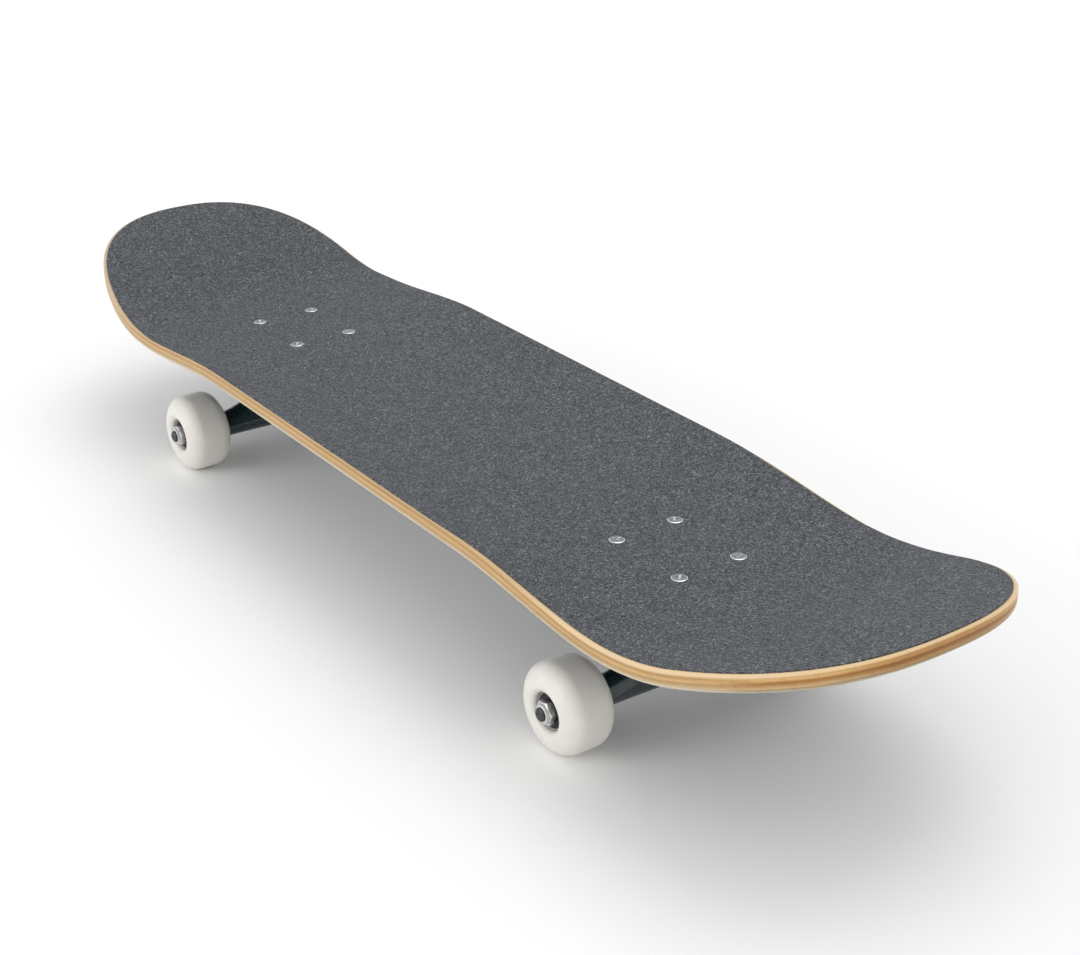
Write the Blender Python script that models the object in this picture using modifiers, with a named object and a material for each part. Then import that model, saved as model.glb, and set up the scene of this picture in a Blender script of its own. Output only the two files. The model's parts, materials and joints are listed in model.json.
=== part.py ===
"""A complete skateboard: maple deck with griptape, two kingpin trucks, four wheels on ball bearings.

Metres, +Z up. The origin is on the floor below the middle of the board. +X is the nose, +Y the left side.
A truck is designed once in its own frame, whose origin is the axle's middle and whose +X points outboard,
to the near end of the deck. Turned shapes have their axis on local Z.
"""

import math

import bmesh
import bpy
from mathutils import Matrix, Vector

MM = 0.001
GAP = 0.3 * MM                          # clearance between neighbouring pieces

# Deck
DECK_WIDTH = 203 * MM
DECK_LENGTH = 813 * MM
DECK_THICKNESS = 9.5 * MM               # seven plies of maple
DECK_EDGE_RADIUS = 2.2 * MM
CONCAVE_RISE = 11.1 * MM                # how far the rails stand above the flat middle
CONCAVE_RISE_AT_KICKS = 2.3 * MM
CONCAVE_FLAT = 0.26                     # share of the width that stays flat
GRIP_THICKNESS = 0.8 * MM
GRIP_INSET = 1.2 * MM
HALF_COLUMNS = (0.0, 0.26, 0.52, 0.76, 1.0)

# One end of the deck: how its outline narrows, and how it kicks up
NOSE = {"side": 1, "corner": 252 * MM, "along": 3.4, "across": 2.3, "bend_at": 251.5 * MM,
        "bend_radius": 215 * MM, "angle": math.radians(19.1), "rows": 8}
TAIL = {"side": -1, "corner": 194 * MM, "along": 3.85, "across": 2.41, "bend_at": 265 * MM,
        "bend_radius": 152 * MM, "angle": math.radians(18.7), "rows": 10}
STRAIGHT_ROWS = 12

# Mounting bolts
WHEELBASE = 362 * MM                    # between the inner rows of bolts
BOLTS_LONG = 53.975 * MM
BOLTS_WIDE = 41.275 * MM
BOLT_RADIUS = 2.4 * MM
BOLT_HEAD_RADIUS = 4.65 * MM
BOLT_HEAD_RIM = 0.3 * MM
BOLT_LENGTH = 25.4 * MM
BOLT_PROUD = 0.25 * MM                  # head above the grip's top
BOLT_NUT_FLATS = 9.5 * MM
BOLT_NUT_HEIGHT = 5.6 * MM

# Trucks
AXLE_OUTBOARD = 39 * MM                 # from the inner bolts to the axle
TRUCK_HEIGHT = 52.5 * MM                # baseplate's mounting face to the axle's centre
AXLE_RADIUS = 4 * MM
AXLE_LENGTH = 203 * MM
PLATE_INBOARD = -53.5 * MM
PLATE_OUTBOARD = 29.5 * MM
PLATE_WIDTH = 56 * MM
PLATE_THICKNESS = 5.5 * MM
PLATE_CORNER = 11 * MM
KINGPIN_LEAN = math.radians(25)         # from upright, foot end inboard
KINGPIN_RADIUS = 4.76 * MM
KINGPIN_FLATS = 14.3 * MM
KINGPIN_HEAD = 6.4 * MM
KINGPIN_BOSS_RADIUS = 13 * MM
KINGPIN_WEB = 6.8 * MM                  # baseplate metal between the head and the lower seat
KINGPIN_TIP = 1.5 * MM                  # thread past the nut
KINGPIN_NUT_HEIGHT = 6.5 * MM
RING_INBOARD = -22 * MM                 # the hanger ring's centre, on the kingpin
RING_BELOW = 36 * MM                    # below the mounting face
RING_THICKNESS = 6.5 * MM
RING_RADIUS = 15.5 * MM
RING_HOLE = 8.2 * MM
PIVOT_OUTBOARD = 19 * MM                # the pivot's rounded tip
PIVOT_BELOW = 15 * MM
PIVOT_RADIUS = 5 * MM
PIVOT_ROOT_RADIUS = 7 * MM
PIVOT_LENGTH = 13.5 * MM
PIVOT_BOSS_RADIUS = 10.5 * MM
CUP_WALL = 2 * MM
CUP_FLOOR = 1.5 * MM
CUP_MOUTH = 5.5 * MM                    # how far the cup reaches down the pivot
WASHER_THICKNESS = 1.6 * MM
BOARDSIDE_BUSHING = {"height": 13.4 * MM, "wide": 12.0 * MM, "narrow": 12.0 * MM}
ROADSIDE_BUSHING = {"height": 10.4 * MM, "wide": 11.6 * MM, "narrow": 8.9 * MM}
HANGER_END = 69.1 * MM                  # where the hanger stops along the axle

# Wheels and bearings
WHEEL_RADIUS = 26.5 * MM
WHEEL_WIDTH = 32 * MM
WHEEL_CENTRE = 82.2 * MM                # from the board's middle plane
SHOULDER_WIDTH = 10.3 * MM              # the tread's rounded shoulder: an ellipse quarter
SHOULDER_DEPTH = 11.7 * MM
BEARING_RADIUS = 11 * MM
BEARING_BORE = 4 * MM
BEARING_WIDTH = 7 * MM
BEARING_SPREAD = 10 * MM                # between the two bearings of a wheel
SPACER_RADIUS = 5.4 * MM
SPACER_LENGTH = 9.4 * MM
AXLE_NUT_FLATS = 12.7 * MM
AXLE_NUT_HEIGHT = 5 * MM
AXLE_NUT_START = 95.2 * MM              # leaves room for a thin speed ring

WHEEL_STEPS = 24
BEARING_STEPS = 14
SMALL_STEPS = 12

AXLE_X = WHEELBASE / 2 + AXLE_OUTBOARD
MOUNT_FACE_Z = WHEEL_RADIUS + TRUCK_HEIGHT
DECK_TOP_Z = MOUNT_FACE_Z + GAP + DECK_THICKNESS
GRIP_TOP_Z = DECK_TOP_Z + GAP + GRIP_THICKNESS

KINGPIN_DOWN = Vector((-math.sin(KINGPIN_LEAN), 0, -math.cos(KINGPIN_LEAN)))
RING_CENTRE = Vector((RING_INBOARD, 0, TRUCK_HEIGHT - RING_BELOW))
PIVOT_TIP = Vector((PIVOT_OUTBOARD, 0, TRUCK_HEIGHT - PIVOT_BELOW))
STEER_AXIS = (PIVOT_TIP - RING_CENTRE).normalized()
ALONG_AXLE = Vector((0, 1, 0))

MATERIALS = {
    "maple": ((0.72, 0.50, 0.27), 0.45, 0.0),
    "griptape": ((0.115, 0.125, 0.135), 0.95, 0.0),
    "bolt_steel": ((0.62, 0.63, 0.64), 0.3, 1.0),
    "baseplate_paint": ((0.02, 0.024, 0.028), 0.45, 0.0),
    "hanger_paint": ((0.03, 0.042, 0.048), 0.35, 0.0),
    "truck_steel": ((0.5, 0.51, 0.52), 0.35, 1.0),
    "bushing_urethane": ((0.03, 0.03, 0.032), 0.4, 0.0),
    "cup_urethane": ((0.025, 0.025, 0.025), 0.5, 0.0),
    "axle_steel": ((0.12, 0.12, 0.12), 0.4, 1.0),
    "wheel_urethane": ((0.82, 0.79, 0.74), 0.35, 0.0),
    "bearing_steel": ((0.3, 0.3, 0.3), 0.3, 1.0),
    "spacer_aluminium": ((0.7, 0.7, 0.7), 0.3, 1.0),
}


def clear_scene():
    for item in list(bpy.data.objects):
        bpy.data.objects.remove(item, do_unlink=True)


def new_collection(name):
    made = bpy.data.collections.new(name)
    bpy.context.scene.collection.children.link(made)
    return made


def new_material(name):
    colour, roughness, metallic = MATERIALS[name]
    made = bpy.data.materials.new(name)
    made.use_nodes = True
    shader = made.node_tree.nodes["Principled BSDF"]
    shader.inputs["Base Color"].default_value = (*colour, 1)
    shader.inputs["Roughness"].default_value = roughness
    shader.inputs["Metallic"].default_value = metallic
    return made


def towards(direction, place=(0, 0, 0), spin=0.0):
    """A matrix that stands local Z along a direction at a place, after a spin about local Z."""
    turn = Vector((0, 0, 1)).rotation_difference(Vector(direction))
    return Matrix.Translation(place) @ turn.to_matrix().to_4x4() @ Matrix.Rotation(spin, 4, "Z")


def around(radius, steps):
    """The corner radius of a polygon whose flats lie on the circle."""
    return radius / math.cos(math.pi / steps)


def bore(radius, steps):
    """The corner radius of a faceted hole that clears a shaft of the given radius."""
    return around(radius + GAP, steps)


class Workshop:
    """Makes the shapes, and keeps the collections and materials they go to."""

    def __init__(self):
        self.parts = new_collection("skateboard")
        self.cutters = new_collection("skateboard_cutters")
        self.materials = {name: new_material(name) for name in MATERIALS}

    def tool(self, name, mesh, matrix=None):
        """A working shape, used to cut or to join and never shown."""
        made = bpy.data.objects.new(name, mesh)
        self.cutters.objects.link(made)
        made.matrix_world = matrix or Matrix()
        made.hide_render = True
        made.display_type = "WIRE"
        return made

    def part(self, name, mesh, material, matrix=None, parent=None, flat=False):
        """A finished piece in its own named object."""
        made = bpy.data.objects.new(name, mesh)
        self.parts.objects.link(made)
        if not mesh.materials:
            mesh.materials.append(self.materials[material])
        if not flat:
            mesh.shade_smooth()
            mesh.set_sharp_from_angle(angle=math.radians(35))
        made.matrix_world = matrix or Matrix()
        if parent:
            made.parent = parent
            made.matrix_parent_inverse = parent.matrix_world.inverted()
        return made

    def axis_empty(self, name, place, parent=None):
        made = bpy.data.objects.new(name, None)
        self.parts.objects.link(made)
        made.location = place
        bpy.context.view_layer.update()
        if parent:
            made.parent = parent
            made.matrix_parent_inverse = parent.matrix_world.inverted()
            bpy.context.view_layer.update()
        return made

    def shaped(self, base, *steps):
        """The mesh of a base shape after joining and cutting it with tools, in the order given."""
        for operation, other in steps:
            change = base.modifiers.new(operation.lower(), "BOOLEAN")
            change.operation = operation
            change.object = other
            change.solver = "EXACT"
        return self.finished(base)

    def finished(self, base):
        """A mesh of a working shape with its place and modifiers applied. The shape itself goes."""
        view = bpy.context.evaluated_depsgraph_get()
        view.update()
        mesh = bpy.data.meshes.new_from_object(base.evaluated_get(view))
        mesh.transform(base.matrix_world)
        mesh.name = base.name
        bpy.data.objects.remove(base, do_unlink=True)
        return mesh

    def turned(self, name, profile, steps):
        """A turned shape from (radius, height) points that run down its outer side."""
        mesh = bpy.data.meshes.new(name)
        closed = profile[0][0] > 0
        points = [(radius, 0, height) for radius, height in profile]
        edges = [(i, i + 1) for i in range(len(points) - 1)]
        if closed:
            edges.append((len(points) - 1, 0))
        mesh.from_pydata(points, edges, [])
        base = self.tool(name, mesh)
        screw = base.modifiers.new("turn", "SCREW")
        screw.steps = steps
        screw.render_steps = steps
        screw.use_merge_vertices = True
        screw.merge_threshold = 0.00001
        return self.finished(base)

    def rod(self, name, radius, bottom, top, steps):
        """A solid cylinder on local Z between two heights."""
        mesh = bpy.data.meshes.new(name)
        shape = bmesh.new()
        bmesh.ops.create_cone(shape, cap_ends=True, segments=steps, radius1=radius, radius2=radius,
                              depth=top - bottom, matrix=Matrix.Translation((0, 0, (top + bottom) / 2)))
        shape.to_mesh(mesh)
        shape.free()
        return mesh

    def slab(self, name, outline, thickness):
        """A flat plate of a given outline, its thickness centred on local Z = 0."""
        curve = bpy.data.curves.new(name, "CURVE")
        curve.dimensions = "2D"
        curve.fill_mode = "BOTH"
        curve.extrude = thickness / 2
        line = curve.splines.new("POLY")
        line.points.add(len(outline) - 1)
        for point, (x, y) in zip(line.points, outline):
            point.co = (x, y, 0, 1)
        line.use_cyclic_u = True
        mesh = self.finished(self.tool(name, curve))
        shape = bmesh.new()
        shape.from_mesh(mesh)
        bmesh.ops.remove_doubles(shape, verts=shape.verts, dist=0.00001)
        shape.to_mesh(mesh)
        shape.free()
        return mesh

    def hex_nut(self, name, flats, height, hole):
        """A hex nut standing on local Z = 0."""
        body = self.tool(name, self.rod(name, around(flats / 2, 6), 0, height, 6))
        drill = self.tool(name + "_drill", self.rod(name, bore(hole, 8), -height, 2 * height, 8))
        return self.shaped(body, ("DIFFERENCE", drill))


# The deck's surface

def kick(x):
    """How far an end of the deck has risen at x: a bend, then a straight ramp."""
    end = NOSE if x > 0 else TAIL
    past = abs(x) - end["bend_at"]
    radius = end["bend_radius"]
    run = radius * math.sin(end["angle"])
    if past <= 0:
        return 0.0
    if past <= run:
        return radius - math.sqrt(radius ** 2 - past ** 2)
    return radius * (1 - math.cos(end["angle"])) + (past - run) * math.tan(end["angle"])


def concave(x, y):
    """How far the rails rise beside the flat middle, fading out towards the kicks."""
    fade_start = WHEELBASE / 2 - 40 * MM
    fade = min(max((abs(x) - fade_start) / (120 * MM), 0), 1)
    fade = fade * fade * (3 - 2 * fade)
    rise = CONCAVE_RISE + (CONCAVE_RISE_AT_KICKS - CONCAVE_RISE) * fade
    across = max(abs(y) / (DECK_WIDTH / 2) - CONCAVE_FLAT, 0) / (1 - CONCAVE_FLAT)
    return rise * across ** 2


def plan_point(end, along, across, inset):
    """Where a grid point lies in plan. The rows of an end bend round its rounded tip."""
    half = DECK_WIDTH / 2 - inset
    if end is None:
        return along, across * half
    reach = DECK_LENGTH / 2 - inset - end["corner"]
    disc_x = along * math.sqrt(1 - across ** 2 / 2)
    disc_y = across * math.sqrt(1 - along ** 2 / 2)
    radius = math.hypot(disc_x, disc_y)
    x = end["corner"] + reach * radius * (disc_x / radius) ** (2 / end["along"])
    y = half * radius * math.copysign((abs(disc_y) / radius) ** (2 / end["across"]), disc_y)
    return end["side"] * x, y


def deck_rows():
    """The grid's rows from tail tip to nose tip, as (end, distance along it)."""
    tail = [(TAIL, 1 - i / TAIL["rows"]) for i in range(TAIL["rows"])]
    nose = [(NOSE, (i + 1) / NOSE["rows"]) for i in range(NOSE["rows"])]
    span = TAIL["corner"] + NOSE["corner"]
    straight = [(None, -TAIL["corner"] + span * i / STRAIGHT_ROWS) for i in range(STRAIGHT_ROWS + 1)]
    return tail + straight + nose


def steepness(x, y):
    """How much longer than its plan the surface is here, down its steepest way."""
    step = 0.5 * MM
    along = (kick(x + step) - kick(x - step)) / (2 * step)
    across = (concave(x, y + step) - concave(x, y - step)) / (2 * step)
    return math.sqrt(1 + along ** 2 + across ** 2)


def deck_sheet(shop, name, top, inset, thickness):
    """A sheet that follows the deck's surface below the given height. Its edge is cut upright."""
    rows = deck_rows()
    columns = [-c for c in reversed(HALF_COLUMNS[1:])] + list(HALF_COLUMNS)
    shape = bmesh.new()
    grid = [[shape.verts.new((*plan_point(*row, column, inset), 0)) for column in columns]
            for row in rows]
    for near, far in zip(grid, grid[1:]):
        for i in range(len(columns) - 1):
            shape.faces.new((near[i], far[i], far[i + 1], near[i + 1]))
    for vert in shape.verts:
        x, y, _ = vert.co
        vert.co.z = top + kick(x) + concave(x, y)
    extruded = bmesh.ops.extrude_face_region(shape, geom=shape.faces[:], use_keep_orig=True)
    for vert in extruded["geom"]:
        if isinstance(vert, bmesh.types.BMVert):
            vert.co.z -= thickness * steepness(vert.co.x, vert.co.y)
    bmesh.ops.recalc_face_normals(shape, faces=shape.faces)
    mesh = bpy.data.meshes.new(name)
    shape.to_mesh(mesh)
    shape.free()
    return shop.tool(name, mesh)


def round_edges(base, width):
    edge = base.modifiers.new("round edges", "BEVEL")
    edge.width = width
    edge.segments = 2
    edge.limit_method = "ANGLE"
    edge.angle_limit = math.radians(50)


def bolt_places():
    """Name prefix and plan position of the eight mounting bolts."""
    places = []
    for end, side in (("nose", 1), ("tail", -1)):
        middle = side * (WHEELBASE + BOLTS_LONG) / 2
        number = 1
        for x in (middle - BOLTS_LONG / 2, middle + BOLTS_LONG / 2):
            for y in (-BOLTS_WIDE / 2, BOLTS_WIDE / 2):
                places.append((end, number, x, y))
                number += 1
    return places


def bolt_profile(margin=0.0, above=0.0, steps=SMALL_STEPS):
    """A countersunk bolt whose head's top is at local Z = 0, or the hole for one, a margin wider."""
    grow = (1 / math.cos(math.pi / steps)) if margin else 1
    head = (BOLT_HEAD_RADIUS + margin) * grow
    shank = (BOLT_RADIUS + margin) * grow
    cone = BOLT_HEAD_RIM + BOLT_HEAD_RADIUS - BOLT_RADIUS
    return [(0, above), (head, above), (head, -BOLT_HEAD_RIM - margin), (shank, -cone - margin),
            (shank, -BOLT_LENGTH - above), (0, -BOLT_LENGTH - above)]


def make_deck(shop):
    """The deck, its griptape, and the bolts and nuts that hold the trucks."""
    deck = deck_sheet(shop, "deck_blank", DECK_TOP_Z, 0, DECK_THICKNESS)
    round_edges(deck, DECK_EDGE_RADIUS)
    grip = deck_sheet(shop, "grip_blank", GRIP_TOP_Z, GRIP_INSET, GRIP_THICKNESS)
    hole = shop.turned("bolt_hole", bolt_profile(GAP, 5 * MM), SMALL_STEPS)
    head_z = GRIP_TOP_Z + BOLT_PROUD
    drills = [shop.tool("bolt_drill", hole, Matrix.Translation((x, y, head_z)))
              for _, _, x, y in bolt_places()]
    cuts = [("DIFFERENCE", drill) for drill in drills]
    shop.part("deck", shop.shaped(deck, *cuts), "maple")
    shop.part("grip_tape", shop.shaped(grip, *cuts), "griptape")
    bolt = shop.turned("mounting_bolt", bolt_profile(), SMALL_STEPS)
    nut = shop.hex_nut("mounting_nut", BOLT_NUT_FLATS, BOLT_NUT_HEIGHT, BOLT_RADIUS)
    nut_z = MOUNT_FACE_Z - PLATE_THICKNESS - GAP - BOLT_NUT_HEIGHT
    for end, number, x, y in bolt_places():
        shop.part(f"{end}_mounting_bolt_{number}", bolt, "bolt_steel", Matrix.Translation((x, y, head_z)))
        shop.part(f"{end}_mounting_nut_{number}", nut, "bolt_steel", Matrix.Translation((x, y, nut_z)),
                  flat=True)


# One truck, in its own frame

def along_kingpin(distance):
    """A matrix on the kingpin's line, local Z towards the road, measured from the ring's centre."""
    return towards(KINGPIN_DOWN, RING_CENTRE + KINGPIN_DOWN * distance)


def kingpin_stack():
    """Distances along the kingpin from the ring's centre, towards the road, where each piece starts."""
    half = RING_THICKNESS / 2
    board_bushing = -half - GAP - BOARDSIDE_BUSHING["height"]
    board_washer = board_bushing - GAP - WASHER_THICKNESS
    seat = board_washer - GAP
    road_bushing = half + GAP
    road_washer = road_bushing + ROADSIDE_BUSHING["height"] + GAP
    nut = road_washer + WASHER_THICKNESS + GAP
    return {"seat": seat, "head": seat - KINGPIN_WEB - GAP, "boardside_washer": board_washer,
            "boardside_bushing": board_bushing, "roadside_bushing": road_bushing,
            "roadside_washer": road_washer, "nut": nut,
            "tip": nut + KINGPIN_NUT_HEIGHT + KINGPIN_TIP}


def corner_arc(x, y, radius, start, points=4):
    """Points round a quarter circle, from a start angle in degrees."""
    turns = [math.radians(start + 90 * i / (points - 1)) for i in range(points)]
    return [(x + radius * math.cos(turn), y + radius * math.sin(turn)) for turn in turns]


def plate_outline():
    inner, outer = PLATE_INBOARD + PLATE_CORNER, PLATE_OUTBOARD - PLATE_CORNER
    side = PLATE_WIDTH / 2 - PLATE_CORNER
    return (corner_arc(outer, side, PLATE_CORNER, 0) + corner_arc(inner, side, PLATE_CORNER, 90)
            + corner_arc(inner, -side, PLATE_CORNER, 180) + corner_arc(outer, -side, PLATE_CORNER, 270))


def baseplate_mesh(shop):
    """The cast plate with a leaning kingpin boss and a pivot boss, drilled for its pieces."""
    stack = kingpin_stack()
    plate = shop.tool("plate", shop.slab("plate", plate_outline(), PLATE_THICKNESS),
                      Matrix.Translation((0, 0, TRUCK_HEIGHT - PLATE_THICKNESS / 2)))
    reach = stack["seat"] + RING_BELOW / math.cos(KINGPIN_LEAN)
    king_boss = shop.tool("king_boss", shop.rod("king_boss", KINGPIN_BOSS_RADIUS, -reach, 0, 16),
                          along_kingpin(stack["seat"]))
    pivot = towards(STEER_AXIS, PIVOT_TIP)
    cup_floor = PIVOT_RADIUS + GAP + CUP_FLOOR
    pivot_boss = shop.tool("pivot_boss", shop.rod("pivot_boss", PIVOT_BOSS_RADIUS, 0.5 * MM - CUP_MOUTH,
                                                  cup_floor + 2.2 * MM, 16), pivot)
    above = shop.tool("above", shop.rod("above", 90 * MM, 0, 30 * MM, 4),
                      Matrix.Translation((0, 0, TRUCK_HEIGHT)))
    head_room = shop.rod("head_room", around(KINGPIN_FLATS / 2 + GAP, 6), -30 * MM, 0, 6)
    head_cut = shop.tool("head_cut", head_room, along_kingpin(stack["seat"] - KINGPIN_WEB))
    pin_hole = shop.tool("pin_hole", shop.rod("pin_hole", bore(KINGPIN_RADIUS, 12), -30 * MM, 30 * MM, 12),
                         along_kingpin(stack["seat"]))
    cup_radius = PIVOT_RADIUS + GAP + CUP_WALL
    cup_hole = shop.tool("cup_hole", shop.rod("cup_hole", bore(cup_radius, 16), -20 * MM,
                                              cup_floor + GAP, 16), pivot)
    middle = AXLE_OUTBOARD - BOLTS_LONG / 2
    bolt_hole = shop.rod("plate_hole", bore(BOLT_RADIUS, 8), 0, 20 * MM, 8)
    holes = [shop.tool("plate_drill", bolt_hole,
                       Matrix.Translation((-middle + x * BOLTS_LONG / 2, y * BOLTS_WIDE / 2,
                                           TRUCK_HEIGHT - 10 * MM)))
             for x in (-1, 1) for y in (-1, 1)]
    cuts = [("DIFFERENCE", cutter) for cutter in (above, head_cut, pin_hole, cup_hole, *holes)]
    return shop.shaped(plate, ("UNION", king_boss), ("UNION", pivot_boss), *cuts)


def hanger_section(y):
    """One section of the hanger: round the axle below, with a rib that grows towards the middle."""
    share = min(max((abs(y) - 12 * MM) / (56 * MM), 0), 1)
    rise = (1 - share) ** 1.8
    low_radius = 9.2 * MM + 1.0 * MM * rise
    rib_radius = 8.2 * MM - 0.4 * MM * rise
    rib_x, rib_z = 7.5 * MM * rise, 23 * MM * rise
    points = []
    for i in range(7):
        turn = math.radians(180 + 180 * i / 6)
        points.append((low_radius * math.cos(turn), y, low_radius * math.sin(turn)))
    for i in range(5):
        turn = math.radians(20 + 140 * i / 4)
        points.append((rib_x + rib_radius * math.cos(turn), y, rib_z + rib_radius * math.sin(turn)))
    return points


def hanger_wing(shop):
    """The hanger's body from wheel to wheel, a loft of its sections."""
    shape = bmesh.new()
    places = [y * MM for y in (12, 22, 32, 42, 54)] + [HANGER_END]
    places = [-y for y in reversed(places)] + places
    rings = [[shape.verts.new(point) for point in hanger_section(y)] for y in places]
    count = len(rings[0])
    for near, far in zip(rings, rings[1:]):
        for i in range(count):
            after = (i + 1) % count
            shape.faces.new((near[i], near[after], far[after], far[i]))
    shape.faces.new(rings[0])
    shape.faces.new(list(reversed(rings[-1])))
    bmesh.ops.recalc_face_normals(shape, faces=shape.faces)
    mesh = bpy.data.meshes.new("hanger_wing")
    shape.to_mesh(mesh)
    shape.free()
    return shop.tool("hanger_wing", mesh)


def yoke_outline():
    """The ring round the kingpin, seen along it: a half circle with straight arms to the axle."""
    reach = 26 * MM
    turns = [math.radians(90 + 180 * i / 8) for i in range(9)]
    bow = [(RING_RADIUS * math.cos(turn), RING_RADIUS * math.sin(turn)) for turn in turns]
    return bow + [(reach, -RING_RADIUS), (reach, RING_RADIUS)]


def yoke_matrix():
    """Local X from the ring towards the axle, local Z towards the board."""
    outboard = Vector((math.cos(KINGPIN_LEAN), 0, -math.sin(KINGPIN_LEAN)))
    up = -KINGPIN_DOWN
    turn = Matrix((outboard, ALONG_AXLE, up)).transposed().to_4x4()
    return Matrix.Translation(RING_CENTRE) @ turn


def hanger_mesh(shop):
    """The cast hanger: wing, ring and pivot in one piece, drilled for the kingpin and the axle."""
    yoke = shop.tool("yoke", shop.slab("yoke", yoke_outline(), RING_THICKNESS), yoke_matrix())
    pivot = shop.turned("pivot", [(0, PIVOT_RADIUS)]
                        + [(PIVOT_RADIUS * math.sin(math.radians(a)), PIVOT_RADIUS * math.cos(math.radians(a)))
                           for a in (35, 65)]
                        + [(PIVOT_RADIUS, -5 * MM), (PIVOT_ROOT_RADIUS, -PIVOT_LENGTH), (0, -PIVOT_LENGTH)],
                        SMALL_STEPS)
    pivot = shop.tool("pivot", pivot, towards(STEER_AXIS, PIVOT_TIP))
    root = PIVOT_TIP - STEER_AXIS * (PIVOT_LENGTH - 2 * MM)
    foot = Vector((7.5 * MM, 0, 20 * MM))
    post = shop.tool("post", shop.rod("post", PIVOT_ROOT_RADIUS, 0, (root - foot).length, SMALL_STEPS),
                     towards((root - foot).normalized(), foot))
    hole = shop.tool("ring_hole", shop.rod("ring_hole", RING_HOLE, -20 * MM, 20 * MM, 16),
                     along_kingpin(0))
    axle_hole = shop.tool("axle_hole", shop.rod("axle_hole", bore(AXLE_RADIUS, SMALL_STEPS), -0.1, 0.1,
                                                SMALL_STEPS), towards(ALONG_AXLE))
    return shop.shaped(hanger_wing(shop), ("UNION", yoke), ("UNION", post), ("UNION", pivot),
                       ("DIFFERENCE", hole), ("DIFFERENCE", axle_hole))


def bushing_profile(size):
    """A bushing on the kingpin, its wide end on local Z = 0."""
    inner = bore(KINGPIN_RADIUS, SMALL_STEPS)
    soft = 0.8 * MM
    height = size["height"]
    return [(inner, height), (size["narrow"] - soft, height), (size["narrow"], height - soft),
            (size["wide"], soft), (size["wide"] - soft, 0), (inner, 0)]


def washer_profile(radius, lip):
    """A cup washer on the kingpin: its lip stands up round the bushing from local Z = 0."""
    inner = bore(KINGPIN_RADIUS, SMALL_STEPS)
    wall = 1 * MM
    return [(inner, WASHER_THICKNESS), (radius - wall, WASHER_THICKNESS), (radius - wall, lip),
            (radius, lip), (radius, 0), (inner, 0)]


def kingpin_mesh(shop):
    """The kingpin from its hex head, in the ring's frame."""
    stack = kingpin_stack()
    head = shop.tool("kingpin", shop.rod("kingpin", around(KINGPIN_FLATS / 2, 6),
                                         stack["head"] - KINGPIN_HEAD, stack["head"], 6))
    shank = shop.tool("shank", shop.rod("shank", KINGPIN_RADIUS, stack["head"] - 1 * MM,
                                        stack["tip"], SMALL_STEPS))
    return shop.shaped(head, ("UNION", shank))


def cup_mesh(shop):
    """The pivot cup, open at the bottom where the pivot enters."""
    inner = bore(PIVOT_RADIUS, BEARING_STEPS)
    outer = PIVOT_RADIUS + GAP + CUP_WALL
    floor = PIVOT_RADIUS + GAP
    return shop.turned("pivot_cup", [(0, floor + CUP_FLOOR), (outer, floor + CUP_FLOOR),
                                     (outer, -CUP_MOUTH), (inner, -CUP_MOUTH), (inner, floor),
                                     (0, floor)], BEARING_STEPS)


def truck_frame(side):
    """From a truck's own frame to the board's: the tail truck is turned half a turn about Z."""
    turn = Matrix() if side > 0 else Matrix.Rotation(math.pi, 4, "Z")
    return Matrix.Translation((side * AXLE_X, 0, WHEEL_RADIUS)) @ turn


def truck_meshes(shop):
    """Every mesh that both trucks use."""
    stack = kingpin_stack()
    return {
        "baseplate": baseplate_mesh(shop),
        "hanger": hanger_mesh(shop),
        "kingpin": kingpin_mesh(shop),
        "pivot_cup": cup_mesh(shop),
        "kingpin_nut": shop.hex_nut("kingpin_nut", KINGPIN_FLATS, KINGPIN_NUT_HEIGHT, KINGPIN_RADIUS),
        "boardside_bushing": shop.turned("boardside_bushing", bushing_profile(BOARDSIDE_BUSHING),
                                         SMALL_STEPS),
        "roadside_bushing": shop.turned("roadside_bushing", bushing_profile(ROADSIDE_BUSHING),
                                        SMALL_STEPS),
        "boardside_washer": shop.turned("boardside_washer", washer_profile(14 * MM, 3.2 * MM),
                                        SMALL_STEPS),
        "roadside_washer": shop.turned("roadside_washer", washer_profile(10.8 * MM, 2.4 * MM),
                                       SMALL_STEPS),
        "axle": axle_mesh(shop),
        "stack": stack,
    }


def axle_mesh(shop):
    half = AXLE_LENGTH / 2
    bevel = 0.8 * MM
    return shop.turned("axle", [(0, half), (AXLE_RADIUS - bevel, half), (AXLE_RADIUS, half - bevel),
                                (AXLE_RADIUS, bevel - half), (AXLE_RADIUS - bevel, -half), (0, -half)],
                       SMALL_STEPS)


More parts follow.
